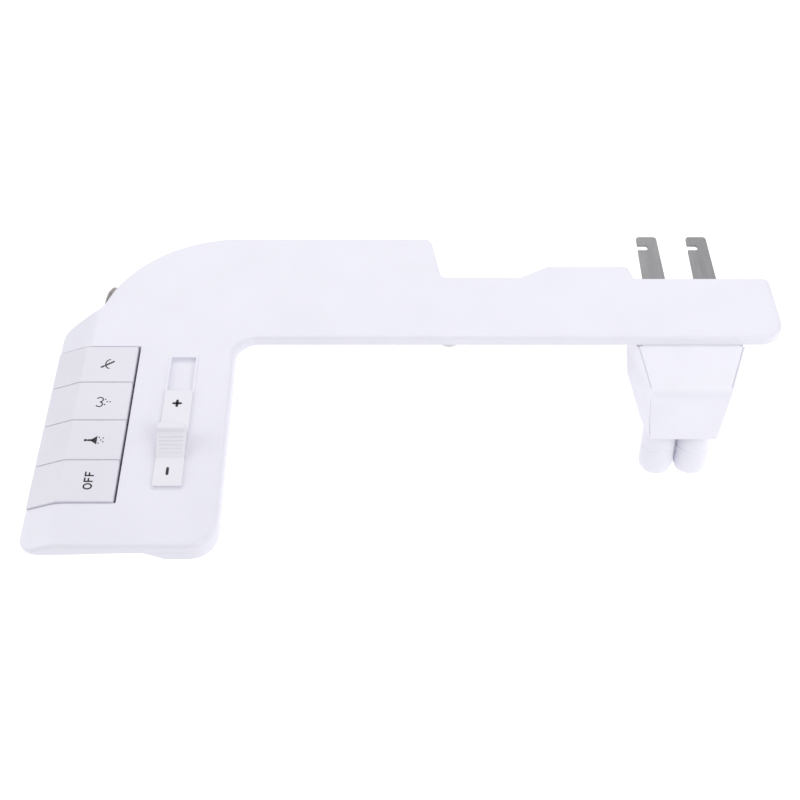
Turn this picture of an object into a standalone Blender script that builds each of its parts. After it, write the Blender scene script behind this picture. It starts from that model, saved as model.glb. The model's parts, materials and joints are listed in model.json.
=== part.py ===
"""Slim under-seat bidet attachment with two nozzles, four piano keys and a pressure slider.

The frame: X = 0 on the nozzles' centre plane, Y = 0 near the middle of the arm's depth,
Z = 0 on the flat underside of the arm. +X runs along the arm, away from the control panel,
+Y to the rear and +Z up. The numbers are millimetres, and the helpers turn them into metres.
"""
import math

import bmesh
import bpy
from mathutils import Matrix, Vector

MM = 0.001
GAP = 0.3

# casing
TOP_Z = 4.6
SKIN = 1.6
WALL = 1.5
PANEL_LEFT_X = -284.6
PANEL_RIGHT_X = -205.6
PANEL_FRONT_Y = -134.5
ARM_FRONT_Y = -19.9
ARM_REAR_Y = 19.6
ARM_RIGHT_X = 42.0
SHOULDER_Y = 47.7
FOLD_X = -271.6
EDGE_TOP_Z = -0.3
EDGE_LOW_Z = -1.1

# casing outlines, seen from above: x, y and corner radius
ARM_CORNERS = [
    (PANEL_RIGHT_X, ARM_FRONT_Y, 11.0),
    (ARM_RIGHT_X, ARM_FRONT_Y, 11.0),
    (ARM_RIGHT_X, ARM_REAR_Y, 3.0),
    (-21.3, ARM_REAR_Y, 1.0),
    (-23.6, 28.0, 2.0),
    (-61.3, 28.0, 4.0),
    (-75.0, 20.3, 6.0),
    (-111.8, 20.3, 3.0),
    (-116.0, SHOULDER_Y, 4.0),
    (-253.5, SHOULDER_Y, 62.0),
]
COVER_CORNERS = (
    [(PANEL_LEFT_X, PANEL_FRONT_Y, 8.0), (PANEL_RIGHT_X, PANEL_FRONT_Y, 12.0)]
    + ARM_CORNERS
    + [(-268.8, -0.1, 12.0), (PANEL_LEFT_X, -11.4, 11.0)]
)
CAVITY_CORNERS = (
    [(-270.1, PANEL_FRONT_Y, 3.0), (PANEL_RIGHT_X, PANEL_FRONT_Y, 12.0)] + ARM_CORNERS + [(-270.1, -4.2, 6.0)]
)

# keys
KEY_PITCH = 21.8
KEY_WIDTH = 21.0
KEY_FIRST_Y = -36.8
KEY_RIGHT_X = -248.6
KEY_TOP_Z = 5.5
KEY_SKIN = 1.7
KEY_PIVOT = (-277.0, -3.8)
KEY_POST_X = -256.0
KEY_SPRING_X = -262.0
SHAFT_RADIUS = 1.45
KEY_NAMES = ("nozzle_clean", "rear_wash", "front_wash", "off")

# valve, latch, water channels and regulator
VALVE_TOP_Z = -4.0
VALVE_LOW_Z = -14.0
TRAY_SHALLOW_Z = -4.6
TRAY_DEEP_Z = -17.4
TRAY_WALL = 1.4
TRAY_SCREWS = (
    (-212.5, -112.0, TRAY_SHALLOW_Z),
    (-212.5, -40.0, TRAY_SHALLOW_Z),
    (-215.0, 34.0, TRAY_SHALLOW_Z),
)
RISERS = ((-254.0, -14.0), (-247.5, -9.5), (-241.5, -5.0))
CHANNEL_Z = (1.3, 2.7)
REGULATOR = (-238.0, -69.0)
GEAR_TEETH = 15
GEAR_MODULE = 1.0
GEAR_Z = (-6.0, -2.8)

# pressure slider
SLOT_X = (-234.5, -221.3)
SLOT_Y = (-105.7, -31.4)
TRACK_FLOOR_Z = 3.2
TRACK_TOP_Z = 5.0
PLATE_X = (-234.0, -221.8)
PLATE_Y = (-105.3, -52.6)
PLATE_Z = (3.5, 5.8)
HUMP_RIDGE_Y = -79.0
HUMP_TOP_Z = 12.6

# water inlet, on the slanted rear-left wall of the tray
INLET_POINT = (-259.6, 13.2, -7.6)
INLET_LENGTH = 9.6
INLET_OUTWARD = Vector((-0.942, 0.336, 0.0)).normalized()
INLET_RADIUS = 7.15

# nozzles and their housing
NOZZLE_X = 8.15
NOZZLE_TOP_Y = -18.4
NOZZLE_TILT = math.radians(14.0)
NOZZLE_RADIUS = 7.85
SLEEVE_START = 14.0
SEAM_AT = 44.2
NOZZLE_END = 70.2
STEM_RADIUS = 4.6
GUARD_SKIN = 1.5
GUARD_PIVOT = (-17.8, -4.4)
GUARD_BORE_RADIUS = 1.35
GUARD_ROWS = ((-20.0, -1.0, 24.6), (-37.0, -15.0, 18.3), (-41.6, -40.6, 15.5))

# hook plates and pads
HOOK_CENTRES = (-10.8, 13.5)
HOOK_WIDTH = 11.2
HOOK_TAPER = 1.4
HOOK_TIP_Y = 54.6
HOOK_Z = (-1.3, -0.3)
PAD_LOW_Z = -2.2
PAD_RADIUS = 5.0
PAD_PLACES = ((-109.5, -14.6), (-190.0, 12.0), (-150.0, -13.0), (31.0, 4.0))

# colours
WHITE = (0.86, 0.86, 0.89, 1.0)
KEY_WHITE = (0.83, 0.82, 0.83, 1.0)
STEEL = (0.52, 0.51, 0.50, 1.0)
RUBBER = (0.06, 0.06, 0.07, 1.0)
PALE_RUBBER = (0.70, 0.69, 0.73, 1.0)
BRASS = (0.62, 0.60, 0.56, 1.0)
NATURAL = (0.72, 0.74, 0.76, 1.0)


def clear_scene():
    for obj in list(bpy.data.objects):
        bpy.data.objects.remove(obj, do_unlink=True)


def new_collection(name):
    coll = bpy.data.collections.new(name)
    bpy.context.scene.collection.children.link(coll)
    return coll


def paint(obj, colour, roughness, metallic=0.0):
    """Give the object its own Principled material."""
    material = bpy.data.materials.new(obj.name + "_material")
    material.use_nodes = True
    shader = material.node_tree.nodes["Principled BSDF"]
    shader.inputs["Base Color"].default_value = colour
    shader.inputs["Roughness"].default_value = roughness
    shader.inputs["Metallic"].default_value = metallic
    obj.data.materials.clear()
    obj.data.materials.append(material)
    return obj


def white(obj):
    return paint(obj, WHITE, 0.28)


def steel(obj):
    return paint(obj, STEEL, 0.35, 1.0)


def rubber(obj):
    return paint(obj, RUBBER, 0.8)


def inner(obj):
    return paint(obj, NATURAL, 0.45)


def link_mesh(name, mesh, coll):
    obj = bpy.data.objects.new(name, mesh)
    coll.objects.link(obj)
    return obj


def curve_to_mesh(obj, coll):
    """Turn a curve object into a mesh object with its caps welded."""
    bpy.context.view_layer.update()
    depsgraph = bpy.context.evaluated_depsgraph_get()
    mesh = bpy.data.meshes.new_from_object(obj.evaluated_get(depsgraph))
    bm = bmesh.new()
    bm.from_mesh(mesh)
    bmesh.ops.remove_doubles(bm, verts=bm.verts, dist=0.000005)
    bmesh.ops.recalc_face_normals(bm, faces=bm.faces)
    bm.to_mesh(mesh)
    bm.free()
    name = obj.name
    matrix = obj.matrix_world.copy()
    bpy.data.objects.remove(obj, do_unlink=True)
    result = link_mesh(name, mesh, coll)
    result.matrix_world = matrix
    return result


def flat_curve(name, points, thickness, coll):
    curve = bpy.data.curves.new(name, "CURVE")
    curve.dimensions = "2D"
    curve.fill_mode = "BOTH"
    curve.extrude = thickness * MM / 2.0
    spline = curve.splines.new("POLY")
    spline.points.add(len(points) - 1)
    for point, (x, y) in zip(spline.points, points):
        point.co = (x * MM, y * MM, 0.0, 1.0)
    spline.use_cyclic_u = True
    obj = bpy.data.objects.new(name, curve)
    coll.objects.link(obj)
    return obj


def plate(name, points, z_low, z_high, coll):
    """A flat outline in X and Y, extruded along Z."""
    obj = flat_curve(name, points, z_high - z_low, coll)
    obj.location.z = (z_low + z_high) / 2.0 * MM
    return curve_to_mesh(obj, coll)


def profile_along_y(name, points, y_low, y_high, coll):
    """A section in X and Z, extruded along Y."""
    obj = flat_curve(name, points, y_high - y_low, coll)
    obj.rotation_euler = (math.pi / 2.0, 0.0, 0.0)
    obj.location.y = (y_low + y_high) / 2.0 * MM
    return curve_to_mesh(obj, coll)


def profile_along_x(name, points, x_low, x_high, coll):
    """A section in Y and Z, extruded along X."""
    obj = flat_curve(name, points, x_high - x_low, coll)
    obj.rotation_euler = (math.pi / 2.0, 0.0, math.pi / 2.0)
    obj.location.x = (x_low + x_high) / 2.0 * MM
    return curve_to_mesh(obj, coll)


def box(name, low, high, coll):
    bm = bmesh.new()
    bmesh.ops.create_cube(bm, size=1.0)
    size = [(high[i] - low[i]) * MM for i in range(3)]
    centre = [(high[i] + low[i]) / 2.0 * MM for i in range(3)]
    bmesh.ops.scale(bm, vec=size, verts=bm.verts)
    mesh = bpy.data.meshes.new(name)
    bm.to_mesh(mesh)
    bm.free()
    obj = link_mesh(name, mesh, coll)
    obj.location = centre
    return obj


def rod(name, start, end, radius, coll, sides=20):
    """A cylinder between two points."""
    start = Vector(start) * MM
    end = Vector(end) * MM
    wide = radius * MM
    depth = (end - start).length
    bm = bmesh.new()
    bmesh.ops.create_cone(bm, cap_ends=True, segments=sides, radius1=wide, radius2=wide, depth=depth)
    mesh = bpy.data.meshes.new(name)
    bm.to_mesh(mesh)
    bm.free()
    mesh.shade_smooth()
    mesh.set_sharp_from_angle(angle=math.radians(40.0))
    obj = link_mesh(name, mesh, coll)
    turn = (end - start).to_track_quat("Z", "Y").to_matrix().to_4x4()
    obj.matrix_world = Matrix.Translation((start + end) / 2.0) @ turn
    return obj


def turned(name, profile, origin, axis, coll, sides=20):
    """A profile of (radius, height) pairs, turned about an axis.

    It makes a ring, unless the profile starts on the axis.
    """
    following = profile[1:] + profile[:1]
    area = sum(r1 * z2 - r2 * z1 for (r1, z1), (r2, z2) in zip(profile, following))
    ordered = profile if area < 0.0 else profile[::-1]
    bm = bmesh.new()
    verts = [bm.verts.new((radius * MM, 0.0, height * MM)) for radius, height in ordered]
    for first, second in zip(verts, verts[1:]):
        bm.edges.new((first, second))
    if profile[0][0] > 0.0:
        bm.edges.new((verts[-1], verts[0]))
    mesh = bpy.data.meshes.new(name)
    bm.to_mesh(mesh)
    bm.free()
    obj = link_mesh(name, mesh, coll)
    screw_turn = obj.modifiers.new("turn", "SCREW")
    screw_turn.steps = sides
    screw_turn.render_steps = sides
    screw_turn.merge_threshold = 0.000001
    screw_turn.use_merge_vertices = True
    turn = Vector(axis).to_track_quat("Z", "Y").to_matrix().to_4x4()
    obj.matrix_world = Matrix.Translation(Vector(origin) * MM) @ turn
    return obj


def tube(name, points, radius, coll, bevel=1):
    """A round bar along a list of points, with filled ends."""
    curve = bpy.data.curves.new(name, "CURVE")
    curve.dimensions = "3D"
    curve.bevel_depth = radius * MM
    curve.bevel_resolution = bevel
    curve.use_fill_caps = True
    spline = curve.splines.new("POLY")
    spline.points.add(len(points) - 1)
    for point, place in zip(spline.points, points):
        point.co = (place[0] * MM, place[1] * MM, place[2] * MM, 1.0)
    obj = bpy.data.objects.new(name, curve)
    coll.objects.link(obj)
    return obj


def coil_spring(name, start, end, coil_radius, wire_radius, turns, coll):
    """A helical spring between two points, eight points to a turn."""
    start = Vector(start)
    end = Vector(end)
    axis = (end - start).normalized()
    side = axis.orthogonal().normalized()
    other = axis.cross(side)
    count = turns * 8
    points = []
    for step in range(count + 1):
        angle = math.tau * step / 8.0
        around = side * math.cos(angle) + other * math.sin(angle)
        points.append(start.lerp(end, step / count) + around * coil_radius)
    return steel(tube(name, points, wire_radius, coll))


def boolean(obj, other, operation):
    modifier = obj.modifiers.new(operation.lower(), "BOOLEAN")
    modifier.operation = operation
    modifier.solver = "EXACT"
    modifier.object = other
    other.hide_render = True
    other.display_type = "WIRE"


def cut(obj, other):
    boolean(obj, other, "DIFFERENCE")


def join(obj, other):
    boolean(obj, other, "UNION")


def rounded(corners, steps=5):
    """An outline from (x, y, radius) corners, each replaced by an arc."""
    points = []
    count = len(corners)
    for index, (x, y, radius) in enumerate(corners):
        here = Vector((x, y))
        before = (Vector(corners[index - 1][:2]) - here).normalized()
        after = (Vector(corners[(index + 1) % count][:2]) - here).normalized()
        half = before.angle(after) / 2.0
        reach = radius / math.tan(half)
        centre = here + (before + after).normalized() * (radius / math.sin(half))
        first = here + before * reach - centre
        last = here + after * reach - centre
        sweep = first.angle_signed(last)
        arcs = max(2, round(steps * max(1.0, radius / 25.0)))
        for step in range(arcs + 1):
            spoke = first.copy()
            spoke.rotate(Matrix.Rotation(-sweep * step / arcs, 2))
            points.append(tuple(centre + spoke))
    return points


def inset(corners, distance):
    """Move each side of a counter-clockwise corner list inwards, and adjust the radii."""
    result = []
    count = len(corners)
    for index, (x, y, radius) in enumerate(corners):
        here = Vector((x, y))
        into = (here - Vector(corners[index - 1][:2])).normalized()
        out = (Vector(corners[(index + 1) % count][:2]) - here).normalized()
        normal_in = Vector((-into.y, into.x))
        normal_out = Vector((-out.y, out.x))
        bisector = (normal_in + normal_out).normalized()
        place = here + bisector * (distance / bisector.dot(normal_in))
        convex = into.x * out.y - into.y * out.x > 0.0
        new_radius = radius - distance if convex else radius + distance
        result.append((place.x, place.y, max(new_radius, 0.3)))
    return result


def key_centre_y(index):
    return KEY_FIRST_Y - KEY_PITCH * index


def key_bay():
    """The rear and front ends of the key bay."""
    rear = key_centre_y(0) + KEY_WIDTH / 2.0 + 0.4
    front = key_centre_y(3) - KEY_WIDTH / 2.0 - 0.4
    return front, rear


def slope_cutter(name, lift, cutters):
    """The wedge above the panel's sloping left edge."""
    points = [
        (FOLD_X, TOP_Z + lift),
        (PANEL_LEFT_X, EDGE_TOP_Z + lift),
        (PANEL_LEFT_X - 8.0, EDGE_TOP_Z + lift),
        (PANEL_LEFT_X - 8.0, TOP_Z + lift + 9.0),
        (FOLD_X, TOP_Z + lift + 9.0),
    ]
    return profile_along_y(name, points, -160.0, 60.0, cutters)


def make_top_cover(parts, cutters):
    cover = plate("top_cover", rounded(COVER_CORNERS), EDGE_LOW_Z, TOP_Z, parts)
    cut(cover, slope_cutter("cut_slope", 0.0, cutters))
    cut(cover, box("cut_under", (FOLD_X + 2.0, -150.0, -5.0), (60.0, 60.0, 0.0), cutters))
    cavity = rounded(inset(CAVITY_CORNERS, WALL))
    cut(cover, plate("cut_cavity", cavity, -3.0, TOP_Z - SKIN, cutters))
    front, rear = key_bay()
    cut(cover, box("cut_key_bay", (-300.0, front, -8.0), (KEY_RIGHT_X + 0.9, rear, 12.0), cutters))
    low = (SLOT_X[0] - 1.0, SLOT_Y[0] - 0.9, -8.0)
    high = (SLOT_X[1] + 1.0, SLOT_Y[1] + 0.9, 12.0)
    cut(cover, box("cut_track", low, high, cutters))
    return white(cover)


def make_arm_bottom_cover(parts, cutters):
    edge = WALL + GAP
    left_x = PANEL_RIGHT_X + 2.4 - edge
    outline = [(left_x, ARM_FRONT_Y, 2.0)] + ARM_CORNERS[1:9] + [(left_x, SHOULDER_Y, 2.0)]
    corners = inset(outline, edge)
    cover = plate("arm_bottom_cover", rounded(corners, 4), 0.0, 1.2, parts)
    for side in (-1.0, 1.0):
        place = (side * NOZZLE_X, -11.0)
        cut(cover, rod("cut_spigot", (*place, -2.0), (*place, 3.0), 3.0, cutters, 16))
        place = (side * 15.0, -9.0)
        cut(cover, rod("cut_holder_screw", (*place, -2.0), (*place, 3.0), 1.6, cutters, 12))
    for x in HOOK_CENTRES:
        cut(cover, rod("cut_hook_screw", (x, 12.0, -2.0), (x, 12.0, 3.0), 1.6, cutters, 12))
    return white(cover)


def make_panel_tray(parts, cutters):
    shallow = [
        (-234.5, -134.2, 0.5),
        (PANEL_RIGHT_X - GAP, -134.2, 12.0),
        (PANEL_RIGHT_X - GAP, 45.4, 3.0),
        (-236.0, 45.4, 24.0),
    ]
    deep = [
        (-282.6, -122.0, 4.0),
        (-222.0, -122.0, 3.0),
        (-222.0, 25.4, 3.0),
        (-255.3, 25.4, 3.0),
        (-266.5, -6.0, 4.0),
        (-282.6, -20.0, 6.0),
    ]
    rim_z = -GAP
    deep_rim_z = EDGE_LOW_Z - GAP
    tray = plate("panel_tray", rounded(deep, 4), TRAY_DEEP_Z, deep_rim_z, parts)
    lobe = plate("join_lobe", rounded(shallow, 5), TRAY_SHALLOW_Z, rim_z, cutters)
    slant = [
        (-236.0, rim_z - 0.6),
        (-233.5, rim_z - 0.6),
        (-226.5, TRAY_SHALLOW_Z),
        (-226.5, -9.0),
        (-236.0, -9.0),
    ]
    cut(lobe, profile_along_y("cut_lobe_slant", slant, -140.0, -121.0, cutters))
    join(tray, lobe)
    lobe_room = rounded(inset(shallow, TRAY_WALL), 5)
    cut(tray, plate("cut_lobe_room", lobe_room, TRAY_SHALLOW_Z + TRAY_WALL, 5.0, cutters))
    deep_room = rounded(inset(deep, TRAY_WALL), 4)
    cut(tray, plate("cut_deep_room", deep_room, TRAY_DEEP_Z + TRAY_WALL, 5.0, cutters))
    front, rear = key_bay()
    for low, high in ((front - 4.6, front - 1.8), (rear + 1.8, rear + 4.6)):
        bracket = box("join_bracket", (-280.4, low, TRAY_DEEP_Z + 1.0), (-273.6, high, deep_rim_z), cutters)
        join(tray, bracket)
    pivot_x, pivot_z = KEY_PIVOT
    near = (pivot_x, front - 4.3, pivot_z)
    far = (pivot_x, rear + 4.3, pivot_z)
    cut(tray, rod("cut_shaft", near, far, SHAFT_RADIUS + GAP, cutters, 14))
    wall = Vector(INLET_POINT)
    inside = wall - INLET_OUTWARD * 4.0
    outside = wall + INLET_OUTWARD * 4.0
    cut(tray, rod("cut_inlet", inside, outside, INLET_RADIUS + 0.35, cutters, 24))
    for x, y, floor in TRAY_SCREWS:
        cut(tray, rod("cut_tray_screw", (x, y, floor - 3.0), (x, y, floor + 4.0), 1.5, cutters, 12))
    return white(tray)


def screw(name, x, y, head_z, shank_top, parts):
    """A pan-head screw seen from below, its head's upper face at head_z."""
    head = 2.6
    profile = [
        (0.0, shank_top),
        (1.1, shank_top),
        (1.1, head_z),
        (head, head_z),
        (head, head_z - 0.9),
        (head - 0.6, head_z - 1.5),
        (0.0, head_z - 1.5),
    ]
    return steel(turned(name, profile, (x, y, 0.0), (0.0, 0.0, 1.0), parts, 12))


def make_screws(parts):
    for index, (x, y, floor) in enumerate(TRAY_SCREWS):
        screw(f"tray_screw_{index + 1}", x, y, floor - GAP, 1.6, parts)
    for side, x in zip(("left", "right"), HOOK_CENTRES):
        screw(f"hook_screw_{side}", x, 12.0, HOOK_Z[0] - GAP, 2.4, parts)
    for side, x in (("left", -15.0), ("right", 15.0)):
        screw(f"holder_screw_{side}", x, -9.0, -7.0 - GAP, 0.9, parts)


def make_key(index, parts, cutters):
    """A piano key: a plate that bends down over the panel's left edge, a hub and a post."""
    name = "key_" + KEY_NAMES[index]
    y = key_centre_y(index)
    low = y - KEY_WIDTH / 2.0
    high = y + KEY_WIDTH / 2.0
    lift = KEY_TOP_Z - TOP_Z
    section = [
        (PANEL_LEFT_X, EDGE_LOW_Z),
        (PANEL_LEFT_X, EDGE_TOP_Z + lift),
        (FOLD_X, KEY_TOP_Z),
        (KEY_RIGHT_X, KEY_TOP_Z),
        (KEY_RIGHT_X, 1.0),
        (KEY_RIGHT_X - 1.5, 1.0),
        (KEY_RIGHT_X - 1.5, KEY_TOP_Z - KEY_SKIN),
        (FOLD_X + 0.6, KEY_TOP_Z - KEY_SKIN),
        (PANEL_LEFT_X + 2.9, EDGE_LOW_Z),
    ]
    key = profile_along_y(name, section[::-1], low, high, parts)
    pivot_x, pivot_z = KEY_PIVOT
    hub = rod("join_hub", (pivot_x, y - 6.0, pivot_z), (pivot_x, y + 6.0, pivot_z), 3.1, cutters, 16)
    join(key, hub)
    web = box("join_web", (pivot_x - 2.0, y - 6.0, pivot_z + 1.0), (pivot_x + 2.0, y + 6.0, 1.2), cutters)
    join(key, web)
    cut(key, rod("cut_bore", (pivot_x, y - 7.0, pivot_z), (pivot_x, y + 7.0, pivot_z), 1.75, cutters, 16))
    if index < 3:
        post = rod("join_post", (KEY_POST_X, y, 0.0), (KEY_POST_X, y, KEY_TOP_Z - 1.0), 2.0, cutters, 12)
        join(key, post)
    return paint(key, KEY_WHITE, 0.3)


def make_plunger(index, parts):
    place = (KEY_POST_X, key_centre_y(index))
    name = "plunger_" + KEY_NAMES[index]
    obj = rod(name, (*place, -10.5), (*place, -0.4), 2.4, parts, 16)
    return inner(obj)


def make_key_springs(parts):
    for index in range(4):
        y = key_centre_y(index)
        start = (KEY_SPRING_X, y, VALVE_TOP_Z + 0.9)
        end = (KEY_SPRING_X, y, KEY_TOP_Z - KEY_SKIN - 0.7)
        coil_spring("key_spring_" + KEY_NAMES[index], start, end, 2.2, 0.3, 4, parts)


def make_key_shaft(parts):
    front, rear = key_bay()
    pivot_x, pivot_z = KEY_PIVOT
    start = (pivot_x, front - 4.0, pivot_z)
    end = (pivot_x, rear + 4.0, pivot_z)
    return steel(rod("key_pivot_shaft", start, end, SHAFT_RADIUS, parts, 14))


def make_latch(parts, cutters):
    """A flat bar with one low tooth under each key's right edge, and its spring."""
    front, rear = key_bay()
    bar = box("latch_bar", (-253.0, front + 3.0, -3.4), (-247.6, rear - 3.0, -2.2), parts)
    for index in range(4):
        y = key_centre_y(index) + 5.0
        join(bar, box("join_tooth", (-252.8, y, -2.9), (-251.2, y + 2.4, -0.4), cutters))
    steel(bar)
    start = (-250.3, rear - 2.2, -1.9)
    end = (-250.3, rear + 3.6, -1.9)
    coil_spring("latch_spring", start, end, 1.3, 0.2, 5, parts)


def make_valve_body(parts, cutters):
    front, rear = key_bay()
    low = (-264.0, front + 1.5, VALVE_LOW_Z)
    high = (-248.0, rear + 1.0, VALVE_TOP_Z)
    body = box("valve_body", low, high, parts)
    low = (-257.5, rear - 1.0, VALVE_LOW_Z + 0.5)
    high = (-239.0, -2.0, VALVE_TOP_Z - 0.4)
    join(body, box("join_head", low, high, cutters))
    for index in range(3):
        place = (KEY_POST_X, key_centre_y(index))
        cut(body, rod("cut_chamber", (*place, -12.9), (*place, 0.0), 2.75, cutters, 16))
        x, y = RISERS[index]
        cut(body, rod("cut_outlet", (x, y, -9.0), (x, y, 0.0), 1.2, cutters, 10))
    return inner(body)


def make_channel_plate(parts, cutters):
    """The grooved plate that takes the water along the arm."""
    corners = [(-258.5, -18.0, 2.0), (18.0, -18.0, 2.0), (18.0, -1.0, 2.0), (-258.5, -1.0, 2.0)]
    obj = plate("water_channel_plate", rounded(corners, 3), CHANNEL_Z[0], CHANNEL_Z[1], parts)
    for index, (x, y) in enumerate(RISERS):
        low = (x - 1.5, y - 1.7, CHANNEL_Z[0] + 0.6)
        cut(obj, box("cut_groove", low, (12.0, y + 1.7, CHANNEL_Z[1] + 2.0), cutters))
        cut(obj, rod("cut_feed", (x, y, 0.0), (x, y, 5.0), 1.1, cutters, 10))
        riser = [(2.0, -4.0), (1.1, -4.0), (1.1, 1.0), (2.0, 1.0)]
        rubber(turned(f"riser_seal_{index + 1}", riser, (x, y, 0.0), (0.0, 0.0, 1.0), parts, 12))
    for side in (-1.0, 1.0):
        place = (side * NOZZLE_X, -11.0)
        cut(obj, rod("cut_outlet_hole", (*place, 0.0), (*place, 5.0), 1.2, cutters, 10))
    return inner(obj)


def make_track(parts, cutters):
    low = (SLOT_X[0] - 0.7, SLOT_Y[0] - 0.6, 1.7)
    high = (SLOT_X[1] + 0.7, SLOT_Y[1] + 0.6, TRACK_TOP_Z)
    track = box("slider_track", low, high, parts)
    low = (SLOT_X[0], SLOT_Y[0], TRACK_FLOOR_Z)
    high = (SLOT_X[1], SLOT_Y[1], 12.0)
    cut(track, box("cut_recess", low, high, cutters))
    cut(track, box("cut_slit", (-230.2, -86.5, -1.0), (-225.8, -53.5, 12.0), cutters))
    return white(track)


def make_slider(parts, cutters):
    """The thumb plate with its ribbed hump: a side profile, extruded across the track."""
    low_y, high_y = PLATE_Y
    base, top = PLATE_Z
    section = [
        (low_y, base),
        (high_y, base),
        (high_y, top),
        (HUMP_RIDGE_Y + 2.8, top),
        (HUMP_RIDGE_Y + 1.7, HUMP_TOP_Z - 0.7),
        (HUMP_RIDGE_Y + 0.5, HUMP_TOP_Z),
        (HUMP_RIDGE_Y - 1.0, HUMP_TOP_Z - 0.3),
        (HUMP_RIDGE_Y - 11.7, top),
        (low_y, top),
    ]
    slider = profile_along_x("pressure_slider", section, PLATE_X[0], PLATE_X[1], parts)
    stem = box("join_stem", (-229.5, -85.0, -2.4), (-226.5, -75.5, base + 0.4), cutters)
    join(slider, stem)
    return paint(slider, KEY_WHITE, 0.3)


def gear_outline(teeth, module, thinning):
    """Straight-sided gear teeth, with the flanks thinned for backlash."""
    pitch_radius = teeth * module / 2.0
    pitch_angle = math.tau / teeth
    outer = pitch_radius + 0.75 * module
    root = pitch_radius - 1.05 * module
    points = []
    for tooth in range(teeth):
        middle = tooth * pitch_angle
        for radius, share in ((root, -0.25), (outer, -0.10), (outer, 0.10), (root, 0.25)):
            angle = middle + share * thinning * pitch_angle
            points.append((radius * math.cos(angle), radius * math.sin(angle)))
    return points


def make_regulator(parts, cutters):
    x, y = REGULATOR
    pinion_points = [(x + px, y + py) for px, py in gear_outline(GEAR_TEETH, GEAR_MODULE, 0.85)]
    pinion = plate("regulator_pinion", pinion_points, GEAR_Z[0], GEAR_Z[1], parts)
    cut(pinion, rod("cut_pinion_bore", (x, y, -9.0), (x, y, 0.0), 2.3, cutters, 14))
    paint(pinion, NATURAL, 0.4)
    steel(rod("regulator_spindle", (x, y, -13.0), (x, y, -2.2), 2.0, parts, 14))
    body = rod("regulator_body", (x, y, -15.6), (x, y, GEAR_Z[0] - 0.5), 7.4, parts, 24)
    outlet = rod("join_outlet", (x, y, -11.0), (-247.7, y, -11.0), 2.6, cutters, 12)
    join(body, outlet)
    cut(body, rod("cut_spindle_bore", (x, y, -13.6), (x, y, 0.0), 2.3, cutters, 14))
    inner(body)


def make_rack(parts):
    """The slider's rack, with its teeth towards the pinion."""
    x, y = REGULATOR
    pitch_line = x + GEAR_TEETH * GEAR_MODULE / 2.0
    pitch = math.pi * GEAR_MODULE
    root = pitch_line + 1.05 * GEAR_MODULE
    tip = pitch_line - 0.75 * GEAR_MODULE
    low_y = y - 8.5 * pitch
    high_y = y + 1.5 * pitch
    points = [(-225.6, low_y), (-225.6, high_y), (root, high_y)]
    for tooth in range(10):
        middle = high_y - (tooth + 0.5) * pitch - pitch * 0.5
        if middle - 0.25 * pitch < low_y:
            continue
        for place, share in ((root, 0.21), (tip, 0.085), (tip, -0.085), (root, -0.21)):
            points.append((place, middle + share * pitch))
    points.append((root, low_y))
    rack = plate("slider_rack", points[::-1], GEAR_Z[0], GEAR_Z[1], parts)
    return inner(rack)


def make_inlet(parts, cutters):
    """The threaded inlet stub, its filter, and the tube to the regulator."""
    profile = [
        (3.2, INLET_LENGTH),
        (INLET_RADIUS - 0.6, INLET_LENGTH),
        (INLET_RADIUS, INLET_LENGTH - 0.6),
        (INLET_RADIUS, -1.8),
        (8.0, -1.8),
        (8.0, -3.4),
        (4.2, -3.4),
        (4.2, -7.6),
        (3.2, -7.6),
    ]
    fitting = turned("inlet_fitting", profile, INLET_POINT, INLET_OUTWARD, parts, 28)
    middle = Vector(INLET_POINT)
    seat_start = middle + INLET_OUTWARD * 7.2
    seat_end = middle + INLET_OUTWARD * 14.0
    cut(fitting, rod("cut_filter_seat", seat_start, seat_end, 5.2, cutters))
    paint(fitting, BRASS, 0.3, 1.0)
    start = middle + INLET_OUTWARD * 7.5
    filter_disc = rod("inlet_filter", start, start + INLET_OUTWARD * 1.2, 4.9, parts, 20)
    steel(filter_disc)
    end = middle - INLET_OUTWARD * 7.9
    route = [
        end,
        end - INLET_OUTWARD * 4.0 + Vector((0, 0, -0.6)),
        Vector((-240.5, 4.0, -10.6)),
        Vector((-234.5, 2.0, -12.0)),
        Vector((-230.6, -3.0, -12.4)),
        Vector((-229.6, -12.0, -12.6)),
        Vector((-229.6, -40.0, -12.6)),
        Vector((-231.0, -50.0, -12.4)),
        Vector((-233.4, -56.5, -12.0)),
        Vector((-235.6, -61.0, -11.6)),
    ]
    inner(tube("inlet_tube", route, 2.6, parts, 2))


def along_nozzle(side, distance):
    """A point on a nozzle's axis, a distance down from the arm's underside."""
    down = Vector((0.0, -math.sin(NOZZLE_TILT), -math.cos(NOZZLE_TILT)))
    return Vector((side * NOZZLE_X, NOZZLE_TOP_Y, 0.0)) + down * distance


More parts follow.
